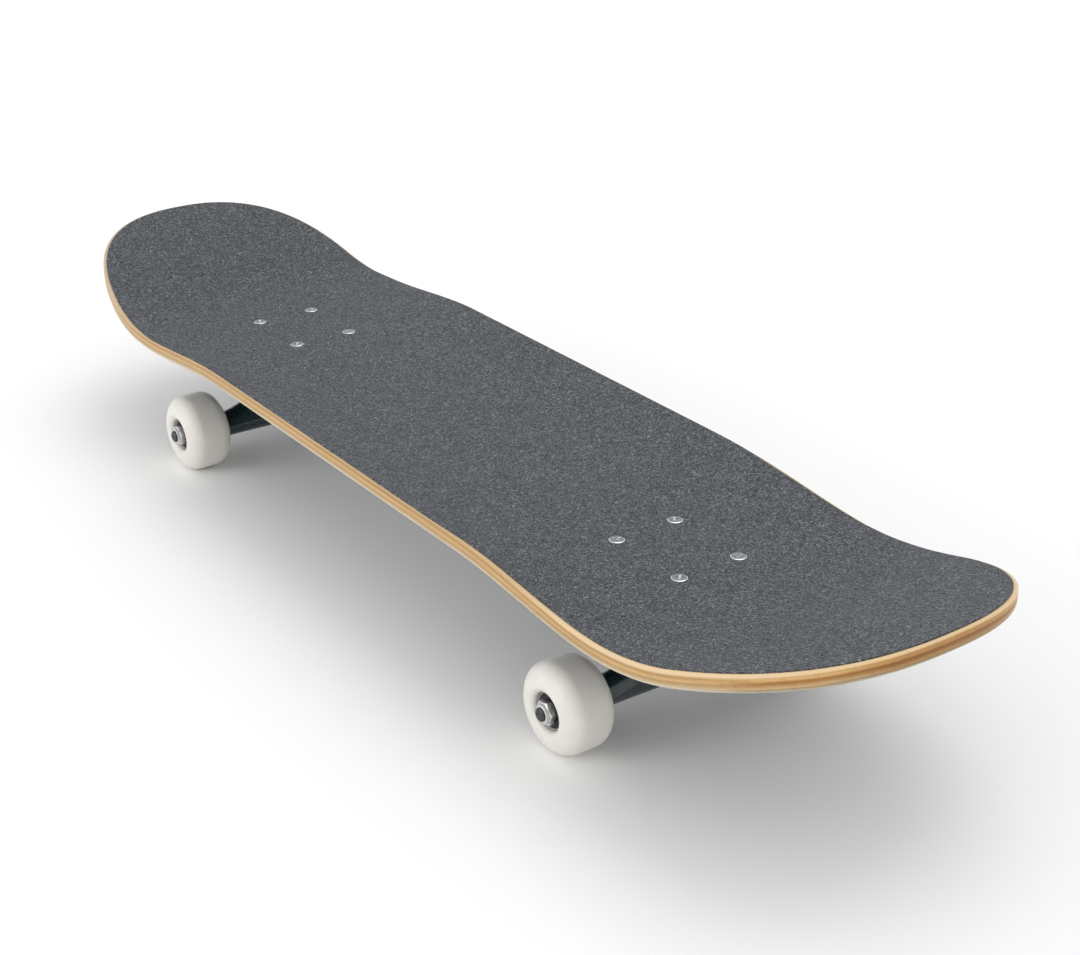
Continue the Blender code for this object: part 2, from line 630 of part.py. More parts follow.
def make_truck(shop, end, side, meshes, wheel_meshes):
    """One truck: fixed pieces on the deck, and the hanger with its axle and wheels on the steering axis."""
    frame = truck_frame(side)
    stack = meshes["stack"]
    shop.part(f"{end}_baseplate", meshes["baseplate"], "baseplate_paint", frame)
    shop.part(f"{end}_pivot_cup", meshes["pivot_cup"], "cup_urethane",
              frame @ towards(STEER_AXIS, PIVOT_TIP))
    shop.part(f"{end}_kingpin", meshes["kingpin"], "truck_steel", frame @ along_kingpin(0), flat=True)
    shop.part(f"{end}_kingpin_nut", meshes["kingpin_nut"], "truck_steel",
              frame @ along_kingpin(stack["nut"]), flat=True)
    shop.part(f"{end}_boardside_washer", meshes["boardside_washer"], "truck_steel",
              frame @ along_kingpin(stack["boardside_washer"]))
    shop.part(f"{end}_boardside_bushing", meshes["boardside_bushing"], "bushing_urethane",
              frame @ along_kingpin(stack["boardside_bushing"]))
    shop.part(f"{end}_roadside_bushing", meshes["roadside_bushing"], "bushing_urethane",
              frame @ along_kingpin(stack["roadside_bushing"]))
    upside_down = Matrix.Translation((0, 0, WASHER_THICKNESS)) @ Matrix.Rotation(math.pi, 4, "X")
    shop.part(f"{end}_roadside_washer", meshes["roadside_washer"], "truck_steel",
              frame @ along_kingpin(stack["roadside_washer"]) @ upside_down)
    steering = shop.axis_empty(f"{end}_steering_axis", frame @ RING_CENTRE)
    shop.part(f"{end}_hanger", meshes["hanger"], "hanger_paint", frame, steering)
    middle = frame.translation
    shop.part(f"{end}_axle", meshes["axle"], "axle_steel", towards(ALONG_AXLE, middle), steering)
    for hand, way in (("left", 1), ("right", -1)):
        make_wheel(shop, f"{end}_{hand}", middle, way, steering, wheel_meshes)


# Wheels

def wheel_profile():
    """Half of the wheel's section from the tread to the core bore, mirrored for the other half."""
    half = WHEEL_WIDTH / 2
    tread = around(WHEEL_RADIUS, WHEEL_STEPS)
    seat = bore(BEARING_RADIUS, WHEEL_STEPS)
    ledge = BEARING_SPREAD / 2 - GAP
    face = []
    for i in range(5):
        turn = math.radians(90 * i / 4)
        face.append((tread - SHOULDER_DEPTH * (1 - math.cos(turn)),
                     half - SHOULDER_WIDTH * (1 - math.sin(turn))))
    face += [(seat + 2 * MM, half - 0.4 * MM), (seat + 0.7 * MM, half - 1.3 * MM), (seat, half - 2.5 * MM)]
    face += [(seat, ledge), (9.2 * MM, ledge)]
    lower = [(radius, -height) for radius, height in face]
    return list(reversed(face)) + lower


def bearing_profile():
    """A shielded bearing, its faces a little recessed between the races."""
    inner, outer = bore(BEARING_BORE, BEARING_STEPS), BEARING_RADIUS
    half = BEARING_WIDTH / 2
    soft = 0.5 * MM
    return [(inner, half), (outer - soft, half), (outer, half - soft), (outer, soft - half),
            (outer - soft, -half), (inner, -half)]


def tube_profile(inner, outer, length):
    half = length / 2
    return [(inner, half), (outer, half), (outer, -half), (inner, -half)]


def wheel_meshes(shop):
    return {
        "wheel": shop.turned("wheel", wheel_profile(), WHEEL_STEPS),
        "bearing": shop.turned("bearing", bearing_profile(), BEARING_STEPS),
        "spacer": shop.turned("spacer", tube_profile(bore(AXLE_RADIUS, SMALL_STEPS), SPACER_RADIUS,
                                                     SPACER_LENGTH), SMALL_STEPS),
        "nut": shop.hex_nut("axle_nut", AXLE_NUT_FLATS, AXLE_NUT_HEIGHT, AXLE_RADIUS),
    }


def make_wheel(shop, name, middle, way, steering, meshes):
    """A wheel and its two bearings on their spin axis, with the spacer and nut that stay on the axle."""
    centre = middle + ALONG_AXLE * way * WHEEL_CENTRE
    outward = ALONG_AXLE * way
    spin = shop.axis_empty(f"{name}_spin_axis", centre, steering)
    flat_down = math.pi / WHEEL_STEPS
    shop.part(f"{name}_wheel", meshes["wheel"], "wheel_urethane", towards(outward, centre, flat_down), spin)
    offset = (BEARING_SPREAD + BEARING_WIDTH) / 2
    for place, step in (("inner", -offset), ("outer", offset)):
        shop.part(f"{name}_{place}_bearing", meshes["bearing"], "bearing_steel",
                  towards(outward, centre + outward * step), spin)
    shop.part(f"{name}_bearing_spacer", meshes["spacer"], "spacer_aluminium", towards(outward, centre),
              steering)
    shop.part(f"{name}_axle_nut", meshes["nut"], "truck_steel",
              towards(outward, middle + outward * AXLE_NUT_START), steering, flat=True)


def main():
    clear_scene()
    shop = Workshop()
    make_deck(shop)
    trucks = truck_meshes(shop)
    wheels = wheel_meshes(shop)
    for end, side in (("nose", 1), ("tail", -1)):
        make_truck(shop, end, side, trucks, wheels)


main()
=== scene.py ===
"""The looks of the skateboard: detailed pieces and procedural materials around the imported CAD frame.

Metres, +Z up, +X towards the nose, as in the CAD. A truck is shaped once in its own frame, whose origin
is the axle's middle and whose +X points outboard. Turned shapes have their axis on local Z.
"""

import json
from math import atan2, copysign, cos, dist, hypot, pi, radians, sin, sqrt, tan

import bmesh
import bpy
from mathutils import Matrix, Vector

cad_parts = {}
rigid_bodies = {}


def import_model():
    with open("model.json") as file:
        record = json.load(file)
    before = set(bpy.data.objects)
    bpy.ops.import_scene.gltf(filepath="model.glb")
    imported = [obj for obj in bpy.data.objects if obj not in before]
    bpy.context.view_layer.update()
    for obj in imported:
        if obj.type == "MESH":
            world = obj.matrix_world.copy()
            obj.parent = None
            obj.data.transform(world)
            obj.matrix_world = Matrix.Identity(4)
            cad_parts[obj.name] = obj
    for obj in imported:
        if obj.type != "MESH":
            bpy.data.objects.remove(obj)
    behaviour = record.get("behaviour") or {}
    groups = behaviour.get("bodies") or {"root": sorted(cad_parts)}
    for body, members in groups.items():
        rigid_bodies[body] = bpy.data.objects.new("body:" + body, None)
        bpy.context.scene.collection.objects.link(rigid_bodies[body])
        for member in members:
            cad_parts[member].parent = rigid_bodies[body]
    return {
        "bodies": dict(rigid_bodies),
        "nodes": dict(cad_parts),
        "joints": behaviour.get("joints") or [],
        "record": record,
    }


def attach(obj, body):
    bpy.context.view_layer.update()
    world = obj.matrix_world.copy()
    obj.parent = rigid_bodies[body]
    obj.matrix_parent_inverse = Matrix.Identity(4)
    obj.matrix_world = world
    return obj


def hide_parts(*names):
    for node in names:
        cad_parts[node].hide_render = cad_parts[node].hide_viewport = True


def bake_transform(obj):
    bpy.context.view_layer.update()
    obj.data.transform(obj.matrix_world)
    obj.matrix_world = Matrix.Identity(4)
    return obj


MM = 0.001
GAP = 0.3 * MM  # the CAD's clearance between pieces that touch

# Deck and grip
WHEELBASE = 362 * MM  # between the inner bolts
DECK_WIDTH = 203 * MM
DECK_LENGTH = 813 * MM
DECK_THICKNESS = 9.8 * MM  # the CAD's deck and the gap that it keeps below the grip
DECK_TOP_ROUNDING = 1.6 * MM
DECK_BOTTOM_ROUNDING = 2.8 * MM
CONCAVE_RISE = 11.1 * MM
CONCAVE_RISE_AT_KICKS = 2.3 * MM
CONCAVE_FLAT = 0.26
CONCAVE_FADE_START = WHEELBASE / 2 - 40 * MM
CONCAVE_FADE_LENGTH = 120 * MM
GRIP_THICKNESS = 0.8 * MM
GRIP_INSET = 0.5 * MM
GRIP_END_TRIM = 1.8 * MM  # how much more wood shows round the nose and the tail
NOSE = {"side": 1, "corner": 252 * MM, "along": 3.4, "across": 2.3, "bend_at": 251.5 * MM,
        "bend_radius": 215 * MM, "angle": radians(19.1), "rows": 44}
TAIL = {"side": -1, "corner": 194 * MM, "along": 3.85, "across": 2.41, "bend_at": 265 * MM,
        "bend_radius": 152 * MM, "angle": radians(18.7), "rows": 52}
STRAIGHT_ROWS = 64
HALF_COLUMNS = 26

# Bolts
BOLTS_LONG = 53.975 * MM
BOLTS_WIDE = 41.275 * MM
BOLT_RADIUS = 2.4 * MM
BOLT_HEAD_RADIUS = 4.65 * MM
BOLT_LENGTH = 25.4 * MM
BOLT_PROUD = 0.25 * MM
BOLT_THREAD_END = -17 * MM  # its upper end, from the head's top
BOLT_THREAD = (0.79 * MM, 0.42 * MM)  # pitch and depth, as in the other threads
BOLT_NUT_FLATS = 9.5 * MM
BOLT_NUT_HEIGHT = 5.6 * MM
BOLT_TURNS = (17, 64, 38, 5, 71, 29, 52, 11)  # degrees, as are the other turns

# Trucks
AXLE_OUTBOARD = 39 * MM
AXLE_X = WHEELBASE / 2 + AXLE_OUTBOARD
TRUCK_HEIGHT = 52.5 * MM
AXLE_RADIUS = 4 * MM
AXLE_HALF = 101.5 * MM
AXLE_THREAD = (1.06 * MM, 0.55 * MM)
PLATE_THICKNESS = 5.5 * MM
KINGPIN_LEAN = radians(25)
KINGPIN_RADIUS = 4.76 * MM
KINGPIN_FLATS = 14.3 * MM
KINGPIN_THREAD = (1.06 * MM, 0.6 * MM)
KINGPIN_NUT_HEIGHT = 6.5 * MM
RING_CENTRE = Vector((-22 * MM, 0, 16.5 * MM))
RING_THICKNESS = 6.5 * MM
RING_RADIUS = 15.5 * MM
RING_HOLE = 8.2 * MM
PIVOT_TIP = Vector((19 * MM, 0, 37.5 * MM))
PIVOT_RADIUS = 5 * MM
HANGER_END = 69.1 * MM
CAST_VOXEL = 0.6 * MM
WASHER_THICKNESS = 1.6 * MM

# Places on the kingpin's line, from the ring's centre towards the road
KING_BOSS_FACE = -19.15 * MM
BOARDSIDE_WASHER_START = -18.85 * MM
BUSHINGS = {"boardside": (-16.95 * MM, -3.55 * MM), "roadside": (13.95 * MM, 3.55 * MM)}
ROADSIDE_WASHER_START = 14.25 * MM
KINGPIN_NUT_START = 16.15 * MM

# Wheels
WHEEL_RADIUS = 26.5 * MM
WHEEL_HALF = 16 * MM
SHOULDER_WIDTH = 10.3 * MM  # the tread's rounded shoulder: an ellipse quarter
SHOULDER_DEPTH = 11.7 * MM
WHEEL_CENTRE = 82.2 * MM
WHEEL_DISH = ((13.4, 0.3, 0.9), (11.9, 1.3, 0.8), (11.15, 2.5, 0.6))  # mm: radius, drop, rounding
WHEEL_LEDGE_HALF = 4.75 * MM
WHEEL_LEDGE_RADIUS = 9.2 * MM
BEARING_RADIUS = 11 * MM
BEARING_WIDTH = 7 * MM
BEARING_STEP = 8.5 * MM
SPEED_RINGS = {"inner": 69.65 * MM, "outer": 94.7 * MM}
AXLE_NUT_FLATS = 12.7 * MM
AXLE_NUT_HEIGHT = 5 * MM
AXLE_NUT_START = 95.2 * MM
AXLE_NUT_TURN = {"nose_right": 12, "nose_left": 40, "tail_right": 20, "tail_left": 5}

# Studio
FLOOR_HALF = 6.0
FLOOR_DROP = 0.2 * MM
WORLD_STRENGTH = 0.88
KEY_LIGHT = {"place": (-1.0, -5.2, 1.9), "aim": (0, 0, 0.05), "size": (3, 2), "power": 80}
TOP_LIGHT = {"place": (-0.6, 2.0, 6), "aim": (-0.3, 0.3, 0.05), "size": (4, 4), "power": 68}
CAMERA_PLACE = (0.8975, -0.5828, 0.5626)
CAMERA_TURN = (64.447, 0.186, 54.443)
CAMERA_LENS = 62.145
CAMERA_SENSOR = 36

MOUNT_FACE_Z = WHEEL_RADIUS + TRUCK_HEIGHT
DECK_TOP_Z = MOUNT_FACE_Z + GAP + DECK_THICKNESS
GRIP_TOP_Z = DECK_TOP_Z + GRIP_THICKNESS
KINGPIN_DOWN = Vector((-sin(KINGPIN_LEAN), 0, -cos(KINGPIN_LEAN)))
STEER_AXIS = (PIVOT_TIP - RING_CENTRE).normalized()
ALONG_AXLE = Vector((0, 1, 0))
FLIP = Matrix.Rotation(pi, 4, "X")


# Materials

# (depth, colour) down the deck's edge, from the top face to the bottom face
RAIL_PLIES = [(0.0, (0.60, 0.43, 0.235)), (0.08, (0.58, 0.40, 0.20)), (0.17, (0.45, 0.275, 0.108)),
              (0.28, (0.42, 0.24, 0.083)), (0.36, (0.53, 0.33, 0.137)), (0.43, (0.61, 0.39, 0.177)),
              (0.49, (0.57, 0.35, 0.15)), (0.55, (0.42, 0.26, 0.105)), (0.64, (0.46, 0.305, 0.14)),
              (0.74, (0.53, 0.395, 0.23)), (0.84, (0.64, 0.55, 0.41)), (1.0, (0.76, 0.71, 0.62))]
END_PLIES = [(0.0, (0.86, 0.58, 0.30)), (0.12, (0.84, 0.55, 0.26)), (0.18, (0.54, 0.33, 0.13)),
             (0.24, (0.66, 0.40, 0.165)), (0.33, (0.65, 0.38, 0.145)), (0.40, (0.40, 0.19, 0.055)),
             (0.48, (0.35, 0.16, 0.038)), (0.55, (0.43, 0.23, 0.075)), (0.65, (0.54, 0.33, 0.15)),
             (0.73, (0.56, 0.38, 0.20)), (0.79, (0.36, 0.24, 0.12)), (0.87, (0.46, 0.39, 0.26)),
             (1.0, (0.56, 0.54, 0.44))]
CROSS_PLIES = [(0.0, 0.0), (0.29, 1.0), (0.40, 0.0), (0.58, 1.0), (0.70, 0.0)]
# the edge's colour near the tail, paler and greyer
PALE_TAIL_EDGE = (0.52, 0.45, 0.33)
# painted highlight: the colour that lightens the rounded top edge near the nose
TOP_EDGE_HIGHLIGHT = (0.74, 0.55, 0.33)
END_GRAIN = (0.76, 0.66, 0.50)
STAIN = ((0.014, 0.020, 0.019), (0.036, 0.048, 0.045))
ALONG_GRAIN = (60 * MM, 1.1 * MM, 1.1 * MM)
ACROSS_GRAIN = (1.1 * MM, 40 * MM, 1.1 * MM)
FIGURE = (160 * MM, 9 * MM, 9 * MM)
GRIT = 0.62 * MM
COARSE_GRIT = 1.3 * MM


class Paint:
    """Builds one procedural material. Texture scales are given as grain sizes in metres."""

    def __init__(self, name, colour=(0.5, 0.5, 0.5), roughness=0.5, metallic=0.0, **sockets):
        self.material = bpy.data.materials.new(name)
        self.material.use_nodes = True
        self.nodes = self.material.node_tree.nodes
        self.links = self.material.node_tree.links
        self.shader = self.nodes["Principled BSDF"]
        sockets |= {"Base_Color": (*colour, 1), "Roughness": roughness, "Metallic": metallic}
        for socket, value in sockets.items():
            self.shader.inputs[socket.replace("_", " ")].default_value = value
        self.coordinates = self.node("TexCoord").outputs["Object"]

    def node(self, kind, inputs=None, **settings):
        """A new node. inputs holds a value or a socket for each input's name."""
        made = self.nodes.new("ShaderNode" + kind)
        for key, value in settings.items():
            setattr(made, key, value)
        for key, value in (inputs or {}).items():
            self.feed(made.inputs[key], value)
        return made

    def feed(self, socket, value):
        if isinstance(value, bpy.types.NodeSocket):
            self.links.new(value, socket)
        else:
            socket.default_value = value

    def stretched(self, lengths):
        """Coordinates divided by a length for each axis."""
        scale = [1 / length for length in lengths]
        return self.node("Mapping", {"Vector": self.coordinates, "Scale": scale}).outputs["Vector"]

    def noise(self, size, detail=2.0, roughness=0.5, vector=None, distortion=0.0):
        inputs = {"Vector": vector or self.coordinates, "Scale": 1 / size, "Detail": detail,
                  "Roughness": roughness, "Distortion": distortion}
        return self.node("TexNoise", inputs).outputs["Fac"]

    def blotches(self, size, detail=3.0, low=0.0, high=1.0, roughness=0.5):
        """Noise that is spread out to run from low to high."""
        return self.range(self.noise(size, detail, roughness), 0.3, 0.7, low, high)

    def cells(self, size, output="Color"):
        return self.node("TexVoronoi", {"Vector": self.coordinates, "Scale": 1 / size}).outputs[output]

    def ramp(self, factor, stops, interpolation="LINEAR"):
        """A colour ramp from (position, colour) stops. A colour is a grey level or three numbers."""
        made = self.node("ValToRGB", {"Fac": factor})
        made.color_ramp.interpolation = interpolation
        elements = made.color_ramp.elements
        while len(elements) < len(stops):
            elements.new(0.5)
        for element, (position, colour) in zip(elements, stops):
            element.position = position
            element.color = (*colour, 1) if isinstance(colour, tuple) else (colour, colour, colour, 1)
        return made.outputs["Color"]

    def mix(self, factor, first, second, blend="MIX"):
        first, second = [(*v, 1) if isinstance(v, tuple) else v for v in (first, second)]
        inputs = {"Factor": factor, "A": first, "B": second}
        return self.node("Mix", inputs, data_type="RGBA", blend_type=blend).outputs["Result"]

    def maths(self, operation, *values):
        made = self.node("Math", operation=operation)
        for socket, value in zip(made.inputs, values):
            self.feed(socket, value)
        return made.outputs["Value"]

    def range(self, value, low, high, new_low, new_high):
        inputs = {"Value": value, "From Min": low, "From Max": high, "To Min": new_low,
                  "To Max": new_high}
        return self.node("MapRange", inputs).outputs["Result"]

    def axes(self, vector):
        return self.node("SeparateXYZ", {"Vector": vector}).outputs

    def attribute(self, name):
        return self.node("Attribute", attribute_name=name).outputs["Fac"]

    def bump(self, height, distance, strength=1.0):
        made = self.node("Bump", {"Strength": strength, "Distance": distance, "Height": height})
        normal = self.shader.inputs["Normal"]
        if normal.is_linked:
            self.links.new(normal.links[0].from_socket, made.inputs["Normal"])
        self.links.new(made.outputs["Normal"], normal)

    def colour(self, value):
        self.feed(self.shader.inputs["Base Color"], value)

    def rough(self, value):
        self.feed(self.shader.inputs["Roughness"], value)

    def tool_marks(self, low, high):
        """Fine marks that run the roughness from low to high."""
        marks = self.noise(0.35 * MM, 4, 0.65)
        self.rough(self.range(marks, 0.25, 0.75, low, high))
        self.bump(marks, 0.02 * MM, 0.5)


def shade(colour, factor):
    return tuple(min(c * factor, 1) for c in colour)


def maple_paint():
    """Seven plies read from the depth through the deck. An edge across the grain is darker. The
    underside has a dark stain that ends in the rounded edge."""
    paint = Paint("maple_plies", Coat_Weight=0.1, Coat_Roughness=0.3, Specular_IOR_Level=0.3)
    depth = paint.maths("ADD", paint.attribute("depth"), paint.blotches(30 * MM, 3, -0.012, 0.012))
    rail = paint.ramp(depth, RAIL_PLIES)
    end = paint.ramp(depth, END_PLIES)
    facing = paint.axes(paint.node("TexCoord").outputs["Normal"])
    place_x = paint.axes(paint.coordinates)["X"]
    end_on = paint.maths("MULTIPLY", facing["X"], facing["X"])
    plies = paint.mix(paint.range(end_on, 0.04, 0.3, 0, 1), rail, end)
    # The edge turns paler and greyer towards the tail.
    plies = paint.mix(paint.range(place_x, -270 * MM, -360 * MM, 0, 0.7), plies, PALE_TAIL_EDGE)
    long_grain = paint.noise(0.5, 4, 0.6, paint.stretched(ALONG_GRAIN), 0.4)
    cross_grain = paint.noise(0.5, 4, 0.6, paint.stretched(ACROSS_GRAIN), 0.3)
    grain = paint.mix(paint.ramp(depth, CROSS_PLIES, "CONSTANT"), long_grain, cross_grain)
    streaks = paint.ramp(grain, [(0.30, 0.74), (0.52, 1.0), (0.75, 1.12)])
    figure = paint.noise(1.0, 3, 0.55, paint.stretched(FIGURE), 1.2)
    bands = paint.ramp(figure, [(0.35, 0.88), (0.5, 1.0), (0.62, 0.95), (0.7, 1.05)])
    wood = paint.mix(0.75, plies, streaks, "MULTIPLY")
    wood = paint.mix(0.8, wood, bands, "MULTIPLY")
    end_grain = paint.mix(1.0, wood, END_GRAIN, "MULTIPLY")
    wood = paint.mix(paint.range(end_on, 0.72, 0.98, 0, 1), wood, end_grain)
    # Painted highlight: the top band of the edge, on its rounded top corner, is lightened towards the
    # nose, and less so on the end faces.
    painted_highlight = paint.maths("MULTIPLY", paint.range(depth, 0.25, 0.12, 0, 1),
                          paint.range(place_x, 185 * MM, 245 * MM, 0, 0.9))
    painted_highlight = paint.maths("MULTIPLY", painted_highlight, paint.range(end_on, 0.2, 0.6, 1, 0.1))
    wood = paint.mix(painted_highlight, wood, TOP_EDGE_HIGHLIGHT)
    stain = paint.mix(paint.range(long_grain, 0.35, 0.7, 0, 1), *STAIN)
    paint.colour(paint.mix(paint.range(facing["Z"], -0.86, -0.82, 1, 0), wood, stain))
    paint.rough(paint.range(long_grain, 0.3, 0.7, 0.38, 0.54))
    paint.bump(grain, 0.05 * MM, 0.5)
    return paint.material


def griptape_paint():
    """Silicon carbide grains on a dark sheet: each grain has its own tone, a few sparkle."""
    paint = Paint("griptape_grit", roughness=0.85)
    tone = paint.mix(0.25, paint.cells(GRIT), paint.cells(COARSE_GRIT))
    grey = paint.ramp(tone, [(0.10, (0.005, 0.006, 0.008)), (0.34, (0.032, 0.036, 0.042)),
                             (0.60, (0.083, 0.090, 0.102)), (0.80, (0.180, 0.188, 0.205)),
                             (0.93, (0.38, 0.39, 0.41))])
    clouds = paint.ramp(paint.noise(9 * MM, 4, 0.6), [(0.3, 0.92), (0.7, 1.08)])
    paint.colour(paint.mix(1.0, grey, clouds, "MULTIPLY"))
    paint.rough(paint.range(paint.cells(0.5 * MM), 0.0, 1.0, 0.6, 0.95))
    paint.bump(paint.cells(GRIT, "Distance"), 0.22 * MM, 0.9)
    paint.bump(paint.noise(1.6 * MM, 3), 0.12 * MM, 0.5)
    return paint.material


def metal_paint(name, colour, roughness, spread=0.1):
    """Plated or machined metal with fine turning marks and a mottled finish."""
    paint = Paint(name, colour, roughness, 1.0)
    paint.colour(paint.mix(paint.blotches(4 * MM), shade(colour, 0.88), shade(colour, 1.12)))
    paint.tool_marks(roughness - spread, roughness + spread)
    return paint.material


def bolt_head_paint():
    """Zinc plate with painted light: a darker, painted shade on the head's flat face and painted
    highlights on its rim and in its cross recess.
    """
    paint = Paint("zinc_plate_head", (0.5, 0.5, 0.5), 0.26, 1.0)
    flat = paint.stretched((1, 1, 1e6))
    radius = paint.node("VectorMath", {"Vector": flat}, operation="LENGTH").outputs["Value"]
    rim_start = BOLT_HEAD_RADIUS - 0.7 * MM
    # masks for the painted highlights on the rim and in the cross recess
    rim = paint.range(radius, rim_start, rim_start + 0.2 * MM, 0, 1)
    recess = paint.range(paint.axes(paint.coordinates)["Z"], -0.1 * MM, -0.3 * MM, 0, 1)
    shaded_face = paint.mix(paint.blotches(1.5 * MM), (0.23, 0.255, 0.255), (0.31, 0.34, 0.34))
    glint_colour = paint.mix(recess, (0.44, 0.47, 0.47), (0.78, 0.82, 0.82))
    paint.colour(paint.mix(paint.maths("MAXIMUM", rim, recess), shaded_face, glint_colour))
    paint.tool_marks(0.18, 0.34)
    return paint.material


def enamel_paint(name, colour, roughness, peel):
    """Dark coating over a casting: soft orange peel, slightly uneven gloss."""
    paint = Paint(name, colour, roughness, Coat_Weight=0.5, Coat_Roughness=0.15)
    paint.colour(paint.mix(paint.blotches(6 * MM, 4), shade(colour, 0.85), shade(colour, 1.2)))
    paint.rough(paint.blotches(1.5 * MM, 3, roughness - 0.03, roughness + 0.05))
    paint.bump(paint.noise(1.1 * MM, 2), 0.035 * MM, peel)
    return paint.material


def urethane_paint(name, colour, roughness, subsurface=0.0, mottle=0.03):
    """Poured urethane: satin, faintly cloudy, with a fine mould texture."""
    soft = {"Subsurface_Weight": subsurface, "Subsurface_Radius": (1.0, 0.8, 0.6),
            "Subsurface_Scale": 3 * MM}
    paint = Paint(name, colour, roughness, **(soft if subsurface else {}))
    clouds = paint.blotches(12 * MM, 4, roughness=0.6)
    paint.colour(paint.mix(clouds, shade(colour, 1 - mottle), shade(colour, 1 + mottle)))
    paint.rough(paint.blotches(2.2 * MM, 3, roughness - 0.05, roughness + 0.07))
    paint.bump(paint.noise(0.5 * MM, 2), 0.012 * MM, 0.6)
    return paint.material


def floor_paint():
    """Pale and plain, near white."""
    paint = Paint("studio_floor", roughness=0.7, Specular_IOR_Level=0.2)
    paint.colour(paint.ramp(paint.noise(0.5, 2), [(0.3, 0.965), (0.7, 0.975)]))
    return paint.material


PAINT = {
    "maple": maple_paint(),
    "griptape": griptape_paint(),
    "bolt_steel": metal_paint("zinc_plate", (0.36, 0.385, 0.40), 0.35),
    "bolt_head_steel": bolt_head_paint(),
    "truck_steel": metal_paint("nickel_plate", (0.62, 0.625, 0.63), 0.3),
    "axle_steel": metal_paint("dark_axle_steel", (0.085, 0.085, 0.09), 0.45),
    "bearing_steel": metal_paint("ground_bearing_steel", (0.42, 0.43, 0.45), 0.24, 0.06),
    "spacer_aluminium": metal_paint("turned_aluminium", (0.72, 0.72, 0.73), 0.32),
    "hanger_paint": enamel_paint("hanger_enamel", (0.009, 0.024, 0.028), 0.28, 0.15),
    "baseplate_paint": enamel_paint("baseplate_enamel", (0.008, 0.011, 0.014), 0.32, 0.6),
    "wheel_urethane": urethane_paint("wheel_urethane_white", (0.74, 0.715, 0.665), 0.42, 0.25),
    "bushing_urethane": urethane_paint("bushing_urethane_black", (0.022, 0.022, 0.024), 0.4, 0, 0.15),
    "cup_urethane": urethane_paint("cup_urethane_black", (0.018, 0.018, 0.019), 0.5, 0, 0.15),
    "shield": urethane_paint("shield_black", (0.008, 0.008, 0.009), 0.55, 0, 0.1),
    "nylon": urethane_paint("nylon_insert", (0.70, 0.71, 0.70), 0.4, 0.1),
}


# Shapes

moved = Matrix.Translation


def clamped(value):
    return min(max(value, 0), 1)


def eased(value):
    share = clamped(value)
    return share * share * (3 - 2 * share)


def towards(direction, place=(0, 0, 0), spin=0.0):
    """A matrix that stands local Z along a direction at a place, after a spin about local Z."""
    turn = Vector((0, 0, 1)).rotation_difference(Vector(direction))
    return moved(place) @ turn.to_matrix().to_4x4() @ Matrix.Rotation(spin, 4, "Z")


def along_kingpin(distance):
    """A matrix on the kingpin's line, local Z towards the road, measured from the ring's centre."""
    return towards(KINGPIN_DOWN, RING_CENTRE + KINGPIN_DOWN * distance)


def truck_frame(side):
    turn = Matrix() if side > 0 else Matrix.Rotation(pi, 4, "Z")
    return moved((side * AXLE_X, 0, WHEEL_RADIUS)) @ turn


def new_mesh(name, points, faces):
    mesh = bpy.data.meshes.new(name)
    mesh.from_pydata([tuple(p) for p in points], [], faces)
    shape = bmesh.new()
    shape.from_mesh(mesh)
    bmesh.ops.recalc_face_normals(shape, faces=shape.faces)
    shape.to_mesh(mesh)
    shape.free()
    return mesh


def softened(corners, closed=True, steps=5):
    """A profile from (radius, height, rounding in mm) corners, each rounded with an arc."""
    count = len(corners)
    made = []
    for i, (r, z, rounding) in enumerate(corners):
        here = Vector((r, z))
        at_end = not closed and i in (0, count - 1)
        if rounding <= 0 or at_end:
            made.append((r, z))
            continue
        before = Vector(corners[i - 1][:2]) - here
        after = Vector(corners[(i + 1) % count][:2]) - here
        one, two = before.normalized(), after.normalized()
        half = one.angle(two) / 2
        reach = min(rounding * MM / tan(half), before.length * 0.49, after.length * 0.49)
        radius = reach * tan(half)
        centre = here + (one + two).normalized() * radius / sin(half)
        start, end = here + one * reach - centre, here + two * reach - centre
        turn = start.angle_signed(end)
        for k in range(steps + 1):
            angle = -turn * k / steps
            x = start.x * cos(angle) - start.y * sin(angle)
            y = start.x * sin(angle) + start.y * cos(angle)
            made.append((centre.x + x, centre.y + y))
    return made


def turned(name, profile, steps=64):
    """A turned mesh. A profile that starts off the axis closes on itself."""
    points, rings, faces = [], [], []
    turns = [2 * pi * i / steps for i in range(steps)]
    for r, z in profile:
        if r < 1e-9:
            rings.append([len(points)] * steps)
            points.append((0, 0, z))
        else:
            rings.append(list(range(len(points), len(points) + steps)))
            points += [(r * cos(t), r * sin(t), z) for t in turns]
    pairs = list(zip(rings, rings[1:]))
    if profile[0][0] > 1e-9:
        pairs.append((rings[-1], rings[0]))
    for a, b in pairs:
        for i in range(steps):
            j = (i + 1) % steps
            face = [a[i], b[i], b[j], a[j]]
            faces.append(list(dict.fromkeys(face)))
    return new_mesh(name, points, faces)


def threaded(mesh, radius, low, high, pitch, depth):
    """Cuts a helical thread into the points of a turned mesh at a radius, between two heights."""
    for vert in mesh.vertices:
        x, y, z = vert.co
        r = hypot(x, y)
        if abs(r - radius) > 0.02 * MM or not low <= z <= high:
            continue
        phase = (z / pitch - atan2(y, x) / (2 * pi)) % 1
        groove = 1 - abs(2 * phase - 1)
        ends = min((z - low) / pitch, (high - z) / pitch, 1)
        scale = 1 - depth * min(groove * 1.25, 1) * ends / r
        vert.co.x, vert.co.y = x * scale, y * scale
    return mesh


def column(radius, low, high, step):
    """Profile points down a cylinder's side, close enough together for a thread."""
    count = max(int((high - low) / step), 1)
    return [(radius, high - (high - low) * i / count) for i in range(count + 1)]


